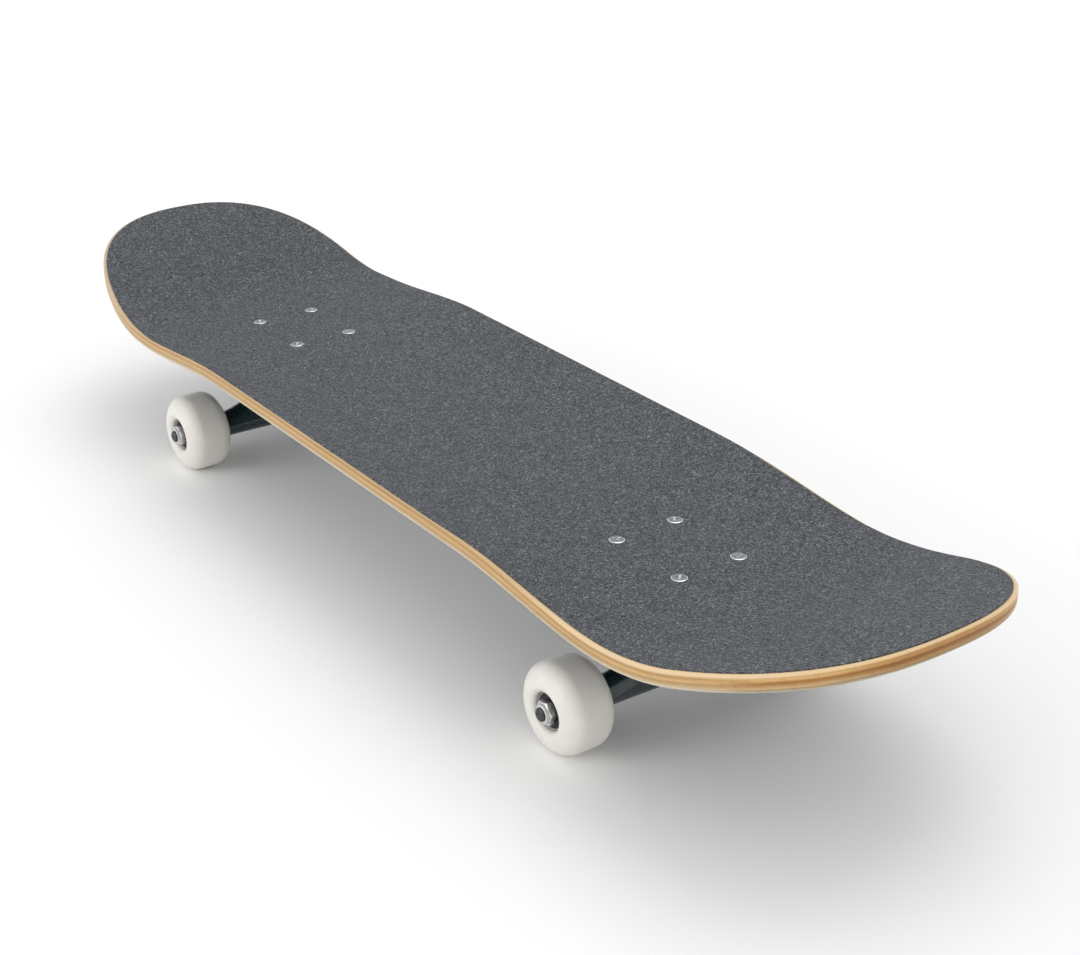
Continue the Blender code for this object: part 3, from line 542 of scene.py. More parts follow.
def linked(name, data, matrix=None):
    made = bpy.data.objects.new(name, data)
    bpy.context.scene.collection.objects.link(made)
    made.matrix_world = matrix or Matrix()
    return made


def evaluated(name, body):
    """The mesh of an object with its modifiers applied. The object is removed."""
    view = bpy.context.evaluated_depsgraph_get()
    view.update()
    mesh = bpy.data.meshes.new_from_object(body.evaluated_get(view))
    mesh.name = name
    bpy.data.objects.remove(body)
    return mesh


def join(mesh, matrix=None):
    return "UNION", mesh, matrix


def cut(mesh, matrix=None):
    return "DIFFERENCE", mesh, matrix


def common(mesh, matrix=None):
    return "INTERSECT", mesh, matrix


def shaped(name, base, *steps):
    """The mesh of a base mesh after steps of join, cut and common with other meshes."""
    body = linked(name, base)
    tools = []
    for operation, mesh, matrix in steps:
        tool = linked(name + "_tool", mesh, matrix)
        change = body.modifiers.new(operation.lower(), "BOOLEAN")
        change.operation = operation
        change.object = tool
        change.solver = "EXACT"
        tools.append(tool)
    made = evaluated(name, body)
    for tool in tools:
        bpy.data.objects.remove(tool)
    return made


def cast(name, mesh, rounds):
    """A casting's soft edges: the mesh is rebuilt from small voxels, then smoothed."""
    body = linked(name, mesh)
    remesh = body.modifiers.new("remesh", "REMESH")
    remesh.mode = "VOXEL"
    remesh.voxel_size = CAST_VOXEL
    smooth = body.modifiers.new("smooth", "SMOOTH")
    smooth.factor = 0.5
    smooth.iterations = rounds
    return evaluated(name, body)


def band(near, far):
    """The faces between two loops of point numbers."""
    count = len(near)
    return [[near[k], near[(k + 1) % count], far[(k + 1) % count], far[k]] for k in range(count)]


def stacked(name, low, high):
    """A solid between two outlines with as many points each."""
    near, far = range(len(low)), range(len(low), 2 * len(low))
    return new_mesh(name, low + high, [list(near), list(far), *band(near, far)])


def prism(name, outline, low, high):
    return stacked(name, [(x, y, low) for x, y in outline], [(x, y, high) for x, y in outline])


def boss(name, radius, low, high, steps=64):
    return turned(name, [(0, high), (radius, high), (radius, low), (0, low)], steps)


def rectangle(low_x, high_x, half_y):
    return [(low_x, -half_y), (high_x, -half_y), (high_x, half_y), (low_x, half_y)]


def arc(x, y, radius, start, sweep, steps):
    turns = [radians(start + sweep * i / steps) for i in range(steps + 1)]
    return [(x + radius * cos(t), y + radius * sin(t)) for t in turns]


def hexagon(flats):
    return arc(0, 0, flats / sqrt(3), 0, 300, 5)


def piece(name, mesh, paint, body, matrix=None, replaces=(), sharp=32, own=False):
    """A finished piece of the visual model, riding on its CAD body."""
    made = linked(name, mesh.copy() if own else mesh, matrix)
    if not made.data.materials:
        made.data.materials.append(PAINT[paint])
        made.data.shade_smooth()
        made.data.set_sharp_from_angle(angle=radians(sharp))
    if body:
        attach(made, body)
    if replaces:
        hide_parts(*replaces)
    return made


# The deck's surface

def kick(x):
    end = NOSE if x > 0 else TAIL
    past = abs(x) - end["bend_at"]
    radius = end["bend_radius"]
    run = radius * sin(end["angle"])
    if past <= 0:
        return 0.0
    if past <= run:
        return radius - sqrt(radius ** 2 - past ** 2)
    return radius * (1 - cos(end["angle"])) + (past - run) * tan(end["angle"])


def concave(x, y):
    fade = eased((abs(x) - CONCAVE_FADE_START) / CONCAVE_FADE_LENGTH)
    rise = CONCAVE_RISE + (CONCAVE_RISE_AT_KICKS - CONCAVE_RISE) * fade
    across = max(abs(y) / (DECK_WIDTH / 2) - CONCAVE_FLAT, 0) / (1 - CONCAVE_FLAT)
    return rise * across ** 2


def surface(x, y):
    return kick(x) + concave(x, y)


def steepness(x, y):
    """How much longer than its plan the surface is here, down its steepest way."""
    step = 0.4 * MM
    along = (surface(x + step, y) - surface(x - step, y)) / (2 * step)
    across = (surface(x, y + step) - surface(x, y - step)) / (2 * step)
    return sqrt(1 + along ** 2 + across ** 2)


def below_surface(x, y, depth):
    """A point straight below the deck's top, where the layers are a depth thick."""
    return Vector((x, y, DECK_TOP_Z + surface(x, y) - depth * steepness(x, y)))


def edge_drop(inset):
    """How far the rounded top edge has fallen at a distance in from the deck's side."""
    return DECK_TOP_ROUNDING - sqrt(DECK_TOP_ROUNDING ** 2 - max(DECK_TOP_ROUNDING - inset, 0) ** 2)


def end_share(x):
    """0 between the trucks, 1 at the nose and the tail, where the grip is trimmed further in."""
    start, length = (110 * MM, 75 * MM) if x > 0 else (245 * MM, 50 * MM)
    return eased((abs(x) - start) / length)


def plan_point(end, along, across, inset):
    half = DECK_WIDTH / 2 - inset
    if end is None:
        return along, across * half
    reach = DECK_LENGTH / 2 - inset - end["corner"]
    disc_x = along * sqrt(1 - across ** 2 / 2)
    disc_y = across * sqrt(1 - along ** 2 / 2)
    radius = hypot(disc_x, disc_y)
    x = end["corner"] + reach * radius * (disc_x / radius) ** (2 / end["along"])
    y = half * radius * copysign((abs(disc_y) / radius) ** (2 / end["across"]), disc_y)
    return end["side"] * x, y


def deck_rows():
    tail = [(TAIL, 1 - i / TAIL["rows"]) for i in range(TAIL["rows"])]
    nose = [(NOSE, (i + 1) / NOSE["rows"]) for i in range(NOSE["rows"])]
    span = TAIL["corner"] + NOSE["corner"]
    straight = [(None, -TAIL["corner"] + span * i / STRAIGHT_ROWS) for i in range(STRAIGHT_ROWS + 1)]
    return tail + straight + nose


def grid_rim(rows, columns):
    """Grid positions round the edge of the sheet, in order."""
    last_row, last_column = rows - 1, columns - 1
    half = [(0, j) for j in range(last_column)] + [(i, last_column) for i in range(last_row)]
    return half + [(last_row - i, last_column - j) for i, j in half]


def layered_sheet(name, edge, trim=0.0, rough_cut=0.0):
    """A closed sheet on the deck's surface, its sides upright. edge is the (inset, depth) of each line
    round its edge, from the top face's border to the bottom's. A depth may be a function of the inset.
    trim is added to the inset at the nose and the tail."""
    rows = deck_rows()
    columns = [i / HALF_COLUMNS for i in range(-HALF_COLUMNS, HALF_COLUMNS + 1)]
    rim = grid_rim(len(rows), len(columns))
    points, faces = [], []

    def add_point(row, share, inset, depth):
        inset += trim * end_share(plan_point(*row, share, inset)[0])
        fall = depth(inset) if callable(depth) else depth
        points.append(below_surface(*plan_point(*row, share, inset), fall))

    def add_face(inset, depth):
        start = len(points)
        for row in rows:
            for share in columns:
                add_point(row, share, inset, depth)
        width = len(columns)
        for i in range(len(rows) - 1):
            for j in range(width - 1):
                a = start + i * width + j
                faces.append([a, a + width, a + width + 1, a + 1])
        return [start + i * width + j for i, j in rim]

    lines = [add_face(*edge[0])]
    for inset, depth in edge[1:-1]:
        line = []
        for k, (i, j) in enumerate(rim):
            waves = sin(k * 1.7) + sin(k * 0.61 + 1.3) + sin(k * 2.9)
            line.append(len(points))
            add_point(rows[i], columns[j], inset + rough_cut * waves / 3, depth)
        lines.append(line)
    lines.append(add_face(*edge[-1]))
    for near, far in zip(lines, lines[1:]):
        faces += band(near, far)
    return new_mesh(name, points, faces)


def bolt_places():
    places = []
    for end, side in (("nose", 1), ("tail", -1)):
        middle = side * (WHEELBASE + BOLTS_LONG) / 2
        number = 1
        for x in (middle - BOLTS_LONG / 2, middle + BOLTS_LONG / 2):
            for y in (-BOLTS_WIDE / 2, BOLTS_WIDE / 2):
                places.append((end, number, x, y))
                number += 1
    return places


def store_depth(mesh):
    """Keeps each point's depth through the deck, from 0 on the top face to 1 on the bottom face."""
    layer = mesh.attributes.new("depth", "FLOAT", "POINT")
    values = []
    for vert in mesh.vertices:
        x, y, z = vert.co
        below = (DECK_TOP_Z + surface(x, y) - z) / steepness(x, y)
        values.append(clamped(below / DECK_THICKNESS))
    layer.data.foreach_set("value", values)


def many(mesh, matrices):
    """One mesh that repeats another at several places."""
    shape = bmesh.new()
    for matrix in matrices:
        copy = mesh.copy()
        copy.transform(matrix)
        shape.from_mesh(copy)
    made = bpy.data.meshes.new(mesh.name + "_many")
    shape.to_mesh(made)
    shape.free()
    return made


def grip_edge():
    """The grip's edge lines. It follows the deck's rounded edge, and its cut is filed at a slant."""
    lift = 0.04 * MM
    steps = [GRIP_INSET + i * 0.25 * MM for i in range(6, 0, -1)]

    def above_deck(share):
        return lambda inset: edge_drop(inset) - share * GRIP_THICKNESS

    top = [(inset, above_deck(1)) for inset in steps]
    slant = [(GRIP_INSET + 0.06 * MM, above_deck(0.85)), (GRIP_INSET, above_deck(0.55))]
    low = [GRIP_INSET + 0.04 * MM, *reversed(steps)]
    return top + slant + [(inset, lambda at: edge_drop(at) - lift) for inset in low]


def make_deck():
    quarter = [radians(10 * i) for i in range(10)]
    low = DECK_BOTTOM_ROUNDING
    round_top = [(DECK_TOP_ROUNDING * (1 - sin(a)), edge_drop) for a in quarter]
    round_bottom = [(low * (1 - sin(a)), DECK_THICKNESS - low * (1 - cos(a)))
                    for a in reversed(quarter)]
    straight = DECK_THICKNESS - low - DECK_TOP_ROUNDING
    middle = [(0, DECK_TOP_ROUNDING + straight * i / 4) for i in range(1, 4)]
    body = layered_sheet("deck_body", round_top + middle + round_bottom)
    head = BOLT_HEAD_RADIUS + GAP
    shank = BOLT_RADIUS + GAP
    above, low_end = 6 * MM, -20 * MM
    drill = turned("deck_drill", [(0, above), (head, above), (head, -1.0 * MM), (shank, -3.6 * MM),
                                  (shank, low_end), (0, low_end)], 40)
    drills = many(drill, [moved((x, y, GRIP_TOP_Z)) for _, _, x, y in bolt_places()])
    body = shaped("deck_body", body, cut(drills))
    store_depth(body)
    piece("deck_maple", body, "maple", "board", replaces=["deck"])
    sheet = layered_sheet("grip_sheet", grip_edge(), GRIP_END_TRIM, 0.1 * MM)
    sheet = shaped("grip_sheet", sheet, cut(drills))
    piece("grip_tape_sheet", sheet, "griptape", "board", replaces=["grip_tape"])


def recess_arm(turn):
    """One arm of a cross recess: a box that tapers downwards, from a little above the head."""
    long_top, wide_top, top_z = 2.55 * MM * 1.25, 0.62 * MM * 1.1, 0.5 * MM
    long_low, wide_low, low_z = 1.2 * MM, 0.42 * MM, -2.3 * MM
    corners = rectangle(-1, 1, 1)
    top = [(x * long_top, y * wide_top, top_z) for x, y in corners]
    low = [(x * long_low, y * wide_low, low_z) for x, y in corners]
    mesh = stacked("recess_arm", top, low)
    mesh.transform(Matrix.Rotation(turn, 4, "Z"))
    return mesh


def bolt_mesh():
    """A countersunk bolt with a cross recess, its head's top at local Z = 0."""
    head, shank, tip = BOLT_HEAD_RADIUS, BOLT_RADIUS, -BOLT_LENGTH
    top = softened([(0, 0.0, 0), (head - 0.75 * MM, -0.02 * MM, 0.2), (head, -0.34 * MM, 0.12),
                    (head, -0.62 * MM, 0.12), (shank, -2.9 * MM, 0.3),
                    (shank, BOLT_THREAD_END, 0)], False)
    thread = column(shank, tip + 0.5 * MM, BOLT_THREAD_END, 0.13 * MM)[1:]
    mesh = turned("mounting_bolt", top + thread + [(shank - 0.5 * MM, tip), (0, tip)], 40)
    threaded(mesh, shank, tip + 0.4 * MM, BOLT_THREAD_END, *BOLT_THREAD)
    return shaped("mounting_bolt", mesh, cut(recess_arm(0)), cut(recess_arm(pi / 2)))


def lock_nut(name, flats, height, hole):
    """A hex nut with chamfered corners, standing on local Z = 0, and the insert in its round collar."""
    corner = flats / sqrt(3)
    face = flats * 0.475
    shoulder = 0.68 * height
    chamfer = (corner - face) * tan(radians(30))
    wide = corner * 1.001
    hull = [(0, shoulder), (face, shoulder), (wide, shoulder - chamfer), (wide, chamfer), (face, 0),
            (0, 0)]
    body = prism(name + "_hex", hexagon(flats), -0.2 * height, 1.2 * height)
    outer, collar_low = flats * 0.455, shoulder * 0.8
    collar = softened([(0, height, 0), (outer - 0.2 * MM, height, 0.35), (outer, shoulder, 0.0),
                       (outer, collar_low, 0), (0, collar_low, 0)], False)
    pocket = (hole + outer) / 2 + 0.35 * MM
    mesh = shaped(name, body, common(turned(name + "_hull", hull, 96)),
                  join(turned(name + "_collar", collar, 96)),
                  cut(boss(name + "_bore", hole, -height, 2 * height, 48)),
                  cut(boss(name + "_seat", pocket, height * 0.72, 2 * height, 48)))
    inner, low = hole - 0.1 * MM, height * 0.73
    insert = softened([(inner, height - 0.25 * MM, 0.2), (pocket, height - 0.35 * MM, 0.1),
                       (pocket, low, 0), (inner, low, 0)])
    return mesh, turned(name + "_insert", insert, 48)


def make_bolts():
    bolt = bolt_mesh()
    nut, insert = lock_nut("mounting_nut", BOLT_NUT_FLATS, BOLT_NUT_HEIGHT, BOLT_RADIUS)
    head_z = GRIP_TOP_Z + BOLT_PROUD
    nut_z = MOUNT_FACE_Z - PLATE_THICKNESS - GAP
    for (end, number, x, y), turn in zip(bolt_places(), BOLT_TURNS):
        spin = radians(turn)
        place = moved((x, y, head_z)) @ Matrix.Rotation(spin, 4, "Z")
        under = moved((x, y, nut_z)) @ FLIP @ Matrix.Rotation(spin * 2, 4, "Z")
        kinds = (("bolt", bolt, "bolt_head_steel", place), ("nut", nut, "bolt_steel", under))
        for kind, mesh, paint, at in kinds:
            piece(f"{end}_{kind}_{number}", mesh, paint, "board", at,
                  [f"{end}_mounting_{kind}_{number}"])
        piece(f"{end}_nut_insert_{number}", insert, "nylon", "board", under)


# Trucks

def plate_outline():
    corner = 11 * MM
    inner, outer, side = -53.5 * MM + corner, 29.5 * MM - corner, 28 * MM - corner
    centres = [(outer, side), (inner, side), (inner, -side), (outer, -side)]
    return [point for k, (x, y) in enumerate(centres) for point in arc(x, y, corner, 90 * k, 90, 10)]


def baseplate_mesh():
    """The cast plate with its leaning kingpin boss, pivot boss and stiffening web."""
    top = TRUCK_HEIGHT
    plate = prism("plate", plate_outline(), top - PLATE_THICKNESS, top)
    king = boss("king_boss", 13 * MM, -22 * MM, 0)
    pivot = boss("pivot_boss", 10.5 * MM, -5 * MM, 9 * MM)
    web = prism("web", rectangle(-26 * MM, 13 * MM, 2.2 * MM), top - 11 * MM, top - 2 * MM)
    above = prism("above", rectangle(-0.09, 0.09, 0.09), top, top + 0.03)
    pivot_place = towards(STEER_AXIS, PIVOT_TIP)
    solid = shaped("baseplate", plate, join(king, along_kingpin(KING_BOSS_FACE)),
                   join(pivot, pivot_place), join(web), cut(above))
    solid = cast("baseplate", solid, 5)
    head = prism("head_room", hexagon(KINGPIN_FLATS + 2 * GAP), -30 * MM, 0)
    pin = boss("pin_hole", KINGPIN_RADIUS + GAP, -30 * MM, 30 * MM, 48)
    cup = boss("cup_hole", 7.6 * MM, -20 * MM, 7.1 * MM, 48)
    bolt = boss("plate_hole", BOLT_RADIUS + GAP, top - 12 * MM, top + 12 * MM, 32)
    middle = AXLE_OUTBOARD - BOLTS_LONG / 2
    bolts = many(bolt, [moved((-middle + x * BOLTS_LONG / 2, y * BOLTS_WIDE / 2, 0))
                        for x in (-1, 1) for y in (-1, 1)])
    return shaped("baseplate", solid, cut(head, along_kingpin(KING_BOSS_FACE - 6.8 * MM)),
                  cut(pin, along_kingpin(KING_BOSS_FACE)), cut(cup, pivot_place), cut(bolts))


def hull_of(points):
    """The convex outline round some points, anticlockwise."""
    points = sorted(set(points))

    def half(ordered):
        line = []
        for p in ordered:
            while len(line) > 1 and ((line[-1][0] - line[-2][0]) * (p[1] - line[-2][1])
                                     - (line[-1][1] - line[-2][1]) * (p[0] - line[-2][0])) <= 0:
                line.pop()
            line.append(p)
        return line[:-1]

    return half(points) + half(list(reversed(points)))


def evenly(loop, count):
    """A closed outline as a number of evenly spaced points, from its first point."""
    ends = loop + [loop[0]]
    lengths = [dist(a, b) for a, b in zip(ends, ends[1:])]
    total, made, i, passed = sum(lengths), [], 0, 0.0
    for k in range(count):
        wanted = total * k / count
        while passed + lengths[i] < wanted:
            passed += lengths[i]
            i += 1
        share = (wanted - passed) / lengths[i]
        made.append(tuple(a + (b - a) * share for a, b in zip(ends[i], ends[i + 1])))
    return made


def hanger_section(y):
    """Round the axle, with a rib that grows towards the middle and an outboard ridge."""
    rise = (1 - clamped((abs(y) - 12 * MM) / (56 * MM))) ** 1.8
    low_radius = 9.2 * MM + 1.0 * MM * rise
    rib_radius = 8.2 * MM - 0.4 * MM * rise
    circle = arc(0, 0, low_radius, 180, 180, 40)
    rib = arc(7.5 * MM * rise, 23 * MM * rise, rib_radius, -10, 200, 40)
    climb = clamped((66 * MM - abs(y)) / (54 * MM))
    ridge = (low_radius + 0.4 * MM + 3.2 * MM * rise, -2.4 * MM + 11 * MM * climb)
    loop = hull_of(circle + rib + [ridge])
    if ridge in loop:
        first = loop.index(ridge)
        loop = loop[first:] + loop[:first]
    return [(x, y, z) for x, z in evenly(loop, 72)]


def hanger_wing():
    sections = [hanger_section(HANGER_END * i / 46) for i in range(-46, 47)]
    count = len(sections[0])
    loops = [range(i * count, (i + 1) * count) for i in range(len(sections))]
    faces = [face for near, far in zip(loops, loops[1:]) for face in band(near, far)]
    return new_mesh("hanger_wing", sum(sections, []), [*faces, list(loops[0]), list(loops[-1])])


def hanger_mesh():
    """The cast hanger: wing, ring and pivot, with soft edges, drilled for the kingpin and the axle."""
    reach, neck, foot = 26 * MM, 7 * MM, Vector((7.5 * MM, 0, 20 * MM))
    outline = arc(0, 0, RING_RADIUS, 90, 180, 32) + [(reach, -RING_RADIUS), (reach, RING_RADIUS)]
    yoke = prism("yoke", outline, -RING_THICKNESS / 2, RING_THICKNESS / 2)
    outboard = Vector((cos(KINGPIN_LEAN), 0, -sin(KINGPIN_LEAN)))
    turn = Matrix((outboard, ALONG_AXLE, -KINGPIN_DOWN)).transposed().to_4x4()
    root = PIVOT_TIP - STEER_AXIS * 11.5 * MM
    post = boss("post", neck, 0, (root - foot).length)
    tip = arc(0, -PIVOT_RADIUS, PIVOT_RADIUS, 90, -90, 9)
    pivot = turned("pivot", tip + [(neck, -13.5 * MM), (0, -13.5 * MM)], 48)
    solid = shaped("hanger", hanger_wing(), join(yoke, moved(RING_CENTRE) @ turn),
                   join(post, towards((root - foot).normalized(), foot)),
                   join(pivot, towards(STEER_AXIS, PIVOT_TIP)))
    solid = cast("hanger", solid, 4)
    ring = boss("ring_hole", RING_HOLE, -20 * MM, 20 * MM)
    bore = boss("axle_hole", AXLE_RADIUS + GAP / 2, -0.1, 0.1, 48)
    return shaped("hanger", solid, cut(ring, along_kingpin(0)), cut(bore, towards(ALONG_AXLE)))


def bushing(name, height, wide, narrow):
    inner = KINGPIN_RADIUS + GAP
    middle = (wide + narrow) / 2 + 0.5 * MM
    return turned(name, softened([
        (inner, height, 0.3), (narrow, height, 0.9), (middle, height / 2, 3), (wide, 0, 0.9),
        (inner, 0, 0.3)], steps=8))


def cup_washer(name, radius, lip):
    inner, wall, thick = KINGPIN_RADIUS + GAP, radius - 1 * MM, WASHER_THICKNESS
    return turned(name, softened([
        (inner, thick, 0.15), (wall, thick, 0.5), (wall, lip, 0.25), (radius, lip, 0.25),
        (radius, 0, 0.9), (inner, 0, 0.15)]))


def kingpin_mesh():
    low, high, tip, thread_end = -32.65 * MM, -26.25 * MM, 24.15 * MM, 8 * MM
    corner = KINGPIN_FLATS / sqrt(3)
    hull = turned("head_hull", [
        (0, high), (corner, high), (corner, low + 1.1 * MM), (KINGPIN_FLATS * 0.47, low), (0, low)], 72)
    head = prism("kingpin_head", hexagon(KINGPIN_FLATS), low - 2 * MM, high)
    side = column(KINGPIN_RADIUS, thread_end, tip - 0.8 * MM, 0.18 * MM)
    root = high - 1 * MM
    shank = turned("kingpin_shank", [
        (0, tip), (KINGPIN_RADIUS - 0.7 * MM, tip), *side, (KINGPIN_RADIUS, root), (0, root)], 48)
    threaded(shank, KINGPIN_RADIUS, thread_end, tip - 0.7 * MM, *KINGPIN_THREAD)
    return shaped("kingpin", head, common(hull), join(shank))


def axle_mesh():
    tip, smooth_end = AXLE_HALF, 84 * MM
    side = column(AXLE_RADIUS, smooth_end, tip - 0.8 * MM, 0.18 * MM)
    dimple = [(0, tip - 1.3 * MM), (0.5 * MM, tip - 0.9 * MM), (1.25 * MM, tip - 0.05 * MM)]
    half = dimple + [(1.4 * MM, tip), (AXLE_RADIUS - 0.85 * MM, tip)] + side
    mesh = turned("axle", half + [(r, -z) for r, z in reversed(half)], 48)
    threaded(mesh, AXLE_RADIUS, smooth_end, tip - 0.7 * MM, *AXLE_THREAD)
    return threaded(mesh, AXLE_RADIUS, -tip + 0.7 * MM, -smooth_end, *AXLE_THREAD)


def pivot_cup_mesh():
    inner, outer, floor, brim = 5.3 * MM, 7.3 * MM, 5.3 * MM, -5.5 * MM
    back = floor + 1.5 * MM
    return turned("pivot_cup", softened([
        (0, back, 0), (outer, back, 0.5), (outer, brim, 0.6), (inner, brim, 0.6), (inner, 1 * MM, 0),
        (inner * 0.8, 3.6 * MM, 0), (inner * 0.4, 5 * MM, 0), (0, floor, 0)], False))


def truck_meshes():
    nut, insert = lock_nut("kingpin_nut", KINGPIN_FLATS, KINGPIN_NUT_HEIGHT, KINGPIN_RADIUS)
    axle_nut, axle_insert = lock_nut("axle_nut", AXLE_NUT_FLATS, AXLE_NUT_HEIGHT, AXLE_RADIUS)
    return {
        "baseplate": baseplate_mesh(),
        "hanger": hanger_mesh(),
        "kingpin": kingpin_mesh(),
        "kingpin_nut": nut,
        "kingpin_insert": insert,
        "axle": axle_mesh(),
        "axle_nut": axle_nut,
        "axle_insert": axle_insert,
        "boardside_washer": cup_washer("boardside_washer", 14 * MM, 3.2 * MM),
        "roadside_washer": cup_washer("roadside_washer", 10.8 * MM, 2.4 * MM),
        "boardside_bushing": bushing("boardside_bushing", 13.4 * MM, 11.9 * MM, 11.9 * MM),
        "roadside_bushing": bushing("roadside_bushing", 10.4 * MM, 11.5 * MM, 8.8 * MM),
        "pivot_cup": pivot_cup_mesh(),
    }


def make_truck(end, side, meshes):
    frame = truck_frame(side)
    hanger_body = f"{end}_hanger_body"

    def add(name, part, paint, body, place, sharp=32):
        piece(f"{end}_{name}", meshes[part], paint, body, place, [f"{end}_{part}"], sharp)

    add("baseplate_cast", "baseplate", "baseplate_paint", "board", frame, 50)
    add("pivot_cup_soft", "pivot_cup", "cup_urethane", "board", frame @ towards(STEER_AXIS, PIVOT_TIP))
    add("kingpin_bolt", "kingpin", "truck_steel", "board", frame @ along_kingpin(0))
    nut_place = frame @ along_kingpin(KINGPIN_NUT_START)
    add("kingpin_lock_nut", "kingpin_nut", "truck_steel", "board", nut_place)
    piece(f"{end}_kingpin_nut_insert", meshes["kingpin_insert"], "nylon", "board", nut_place)
    add("boardside_cup_washer", "boardside_washer", "truck_steel", "board",
        frame @ along_kingpin(BOARDSIDE_WASHER_START))
    flip = moved((0, 0, WASHER_THICKNESS)) @ FLIP
    add("roadside_cup_washer", "roadside_washer", "truck_steel", "board",
        frame @ along_kingpin(ROADSIDE_WASHER_START) @ flip)
    for name, ends in BUSHINGS.items():
        soft = piece(f"{end}_{name}_bushing_soft", meshes[f"{name}_bushing"], "bushing_urethane", None,
                     frame @ along_kingpin(min(ends)), [f"{end}_{name}_bushing"], own=True)
        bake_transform(soft)
    add("hanger_cast", "hanger", "hanger_paint", hanger_body, frame, 50)
    add("axle_rod", "axle", "axle_steel", hanger_body, towards(ALONG_AXLE, frame.translation))


# Wheels

def wheel_profile():
    half, steps = WHEEL_HALF, 18
    face = []
    for i in range(steps + 1):
        turn = radians(90 * i / steps)
        face.append((WHEEL_RADIUS - SHOULDER_DEPTH * (1 - cos(turn)),
                     half - SHOULDER_WIDTH * (1 - sin(turn)), 0))
    face += [(radius * MM, half - drop * MM, soft) for radius, drop, soft in WHEEL_DISH]
    face += [(face[-1][0], WHEEL_LEDGE_HALF, 0), (WHEEL_LEDGE_RADIUS, WHEEL_LEDGE_HALF, 0.3)]
    return softened(list(reversed(face)) + [(r, -z, soft) for r, z, soft in face], steps=9)


def shield_mesh():
    """The two pressed shields of a bearing, one on each side."""
    face, inner, outer = BEARING_WIDTH / 2, 5.5 * MM, 9.85 * MM
    rim, step, dip, back = face - 0.15 * MM, face - 0.4 * MM, face - 0.75 * MM, face - 1.1 * MM
    section = softened([
        (inner, dip, 0.1), (inner + 0.9 * MM, dip, 0.15), (inner + 1.15 * MM, step, 0.15),
        (outer - 0.7 * MM, step, 0.15), (outer - 0.4 * MM, rim, 0.12), (outer, rim, 0.1),
        (outer, back, 0), (inner, back, 0)])
    return many(turned("shield", section), [Matrix(), FLIP])


def tube(name, inner, outer, length, soft, steps=64):
    half = length / 2
    corners = [(inner, half, soft), (outer, half, soft), (outer, -half, soft), (inner, -half, soft)]
    return turned(name, softened(corners), steps)


def wheel_meshes():
    return {
        "wheel": turned("wheel", wheel_profile(), 144),
        "outer_race": tube("outer_race", 9.9 * MM, BEARING_RADIUS, BEARING_WIDTH, 0.35, 96),
        "inner_race": tube("inner_race", 4.05 * MM, 5.4 * MM, BEARING_WIDTH, 0.35, 72),
        "shields": shield_mesh(),
        "spacer": tube("spacer", 4.2 * MM, 5.4 * MM, 9.4 * MM, 0.3),
        "speed_ring": tube("speed_ring", 4.1 * MM, 5.7 * MM, 0.85 * MM, 0.15),
    }


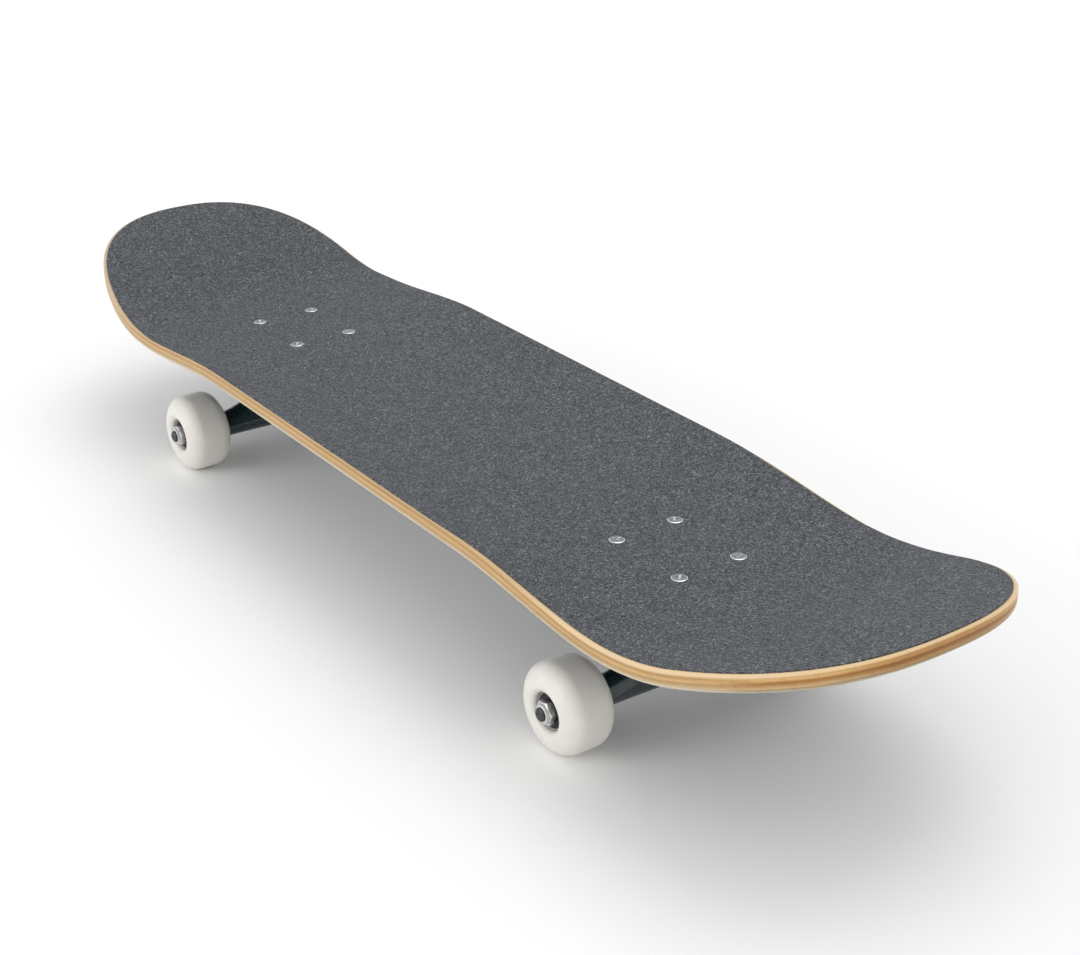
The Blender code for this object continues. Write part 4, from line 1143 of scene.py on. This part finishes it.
def make_wheel(end, hand, way, middle, meshes, trucks):
    wheel = f"{end}_{hand}"
    wheel_body, hanger_body = f"{wheel}_wheel_body", f"{end}_hanger_body"
    outward = ALONG_AXLE * way
    centre = middle + outward * WHEEL_CENTRE

    def add(name, mesh, paint, body, place, nodes=(), sharp=32):
        piece(f"{wheel}_{name}", mesh, paint, body, place, [f"{wheel}_{node}" for node in nodes], sharp)

    at_centre = towards(outward, centre)
    add("wheel_tyre", meshes["wheel"], "wheel_urethane", wheel_body, at_centre, ["wheel"], 40)
    for side, step in (("inner", -BEARING_STEP), ("outer", BEARING_STEP)):
        place = towards(outward, centre + outward * step)
        add(f"{side}_bearing_race", meshes["outer_race"], "bearing_steel", wheel_body, place,
            [f"{side}_bearing"])
        add(f"{side}_bearing_shields", meshes["shields"], "shield", wheel_body, place)
        add(f"{side}_bearing_cone", meshes["inner_race"], "bearing_steel", hanger_body, place)
    for side, distance in SPEED_RINGS.items():
        add(f"{side}_speed_ring", meshes["speed_ring"], "truck_steel", hanger_body,
            towards(outward, middle + outward * distance))
    add("spacer_tube", meshes["spacer"], "spacer_aluminium", hanger_body, at_centre, ["bearing_spacer"])
    nut_place = towards(outward, middle + outward * AXLE_NUT_START, radians(AXLE_NUT_TURN[wheel]))
    add("axle_lock_nut", trucks["axle_nut"], "truck_steel", hanger_body, nut_place, ["axle_nut"])
    add("axle_nut_insert", trucks["axle_insert"], "nylon", hanger_body, nut_place)


# Studio

def make_floor():
    corners = [(x, y, 0) for x, y in rectangle(-FLOOR_HALF, FLOOR_HALF, FLOOR_HALF)]
    floor = linked("studio_floor", new_mesh("studio_floor", corners, [[0, 1, 2, 3]]))
    floor.location.z = -FLOOR_DROP
    floor.data.materials.append(floor_paint())


def area_light(name, place, aim, size, power):
    lamp = bpy.data.lights.new(name, "AREA")
    lamp.shape = "RECTANGLE"
    lamp.size, lamp.size_y = size
    lamp.energy = power
    made = linked(name, lamp)
    made.location = place
    made.rotation_euler = (Vector(aim) - Vector(place)).to_track_quat("-Z", "Y").to_euler()


def make_studio():
    world = bpy.data.worlds.new("studio")
    bpy.context.scene.world = world
    world.use_nodes = True
    sky = world.node_tree.nodes["Background"]
    sky.inputs["Color"].default_value = (1.0, 1.0, 1.0, 1)
    sky.inputs["Strength"].default_value = WORLD_STRENGTH
    area_light("key", **KEY_LIGHT)
    area_light("top", **TOP_LIGHT)
    view = bpy.context.scene.view_settings
    view.view_transform = "Standard"
    view.look = "None"
    view.exposure = 0
    view.gamma = 1


def make_camera():
    lens = bpy.data.cameras.new("camera")
    lens.sensor_width = CAMERA_SENSOR
    lens.lens = CAMERA_LENS
    made = linked("camera", lens)
    made.location = CAMERA_PLACE
    made.rotation_euler = [radians(angle) for angle in CAMERA_TURN]
    bpy.context.scene.camera = made


for start_object in list(bpy.data.objects):
    bpy.data.objects.remove(start_object)
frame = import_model()
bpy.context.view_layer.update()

make_deck()
make_bolts()
TRUCKS = truck_meshes()
WHEELS = wheel_meshes()
for end_name, end_side in (("nose", 1), ("tail", -1)):
    make_truck(end_name, end_side, TRUCKS)
    for hand_name, hand_way in (("left", 1), ("right", -1)):
        make_wheel(end_name, hand_name, hand_way, truck_frame(end_side).translation, WHEELS, TRUCKS)
make_floor()
make_studio()
make_camera()

bpy.context.view_layer.update()
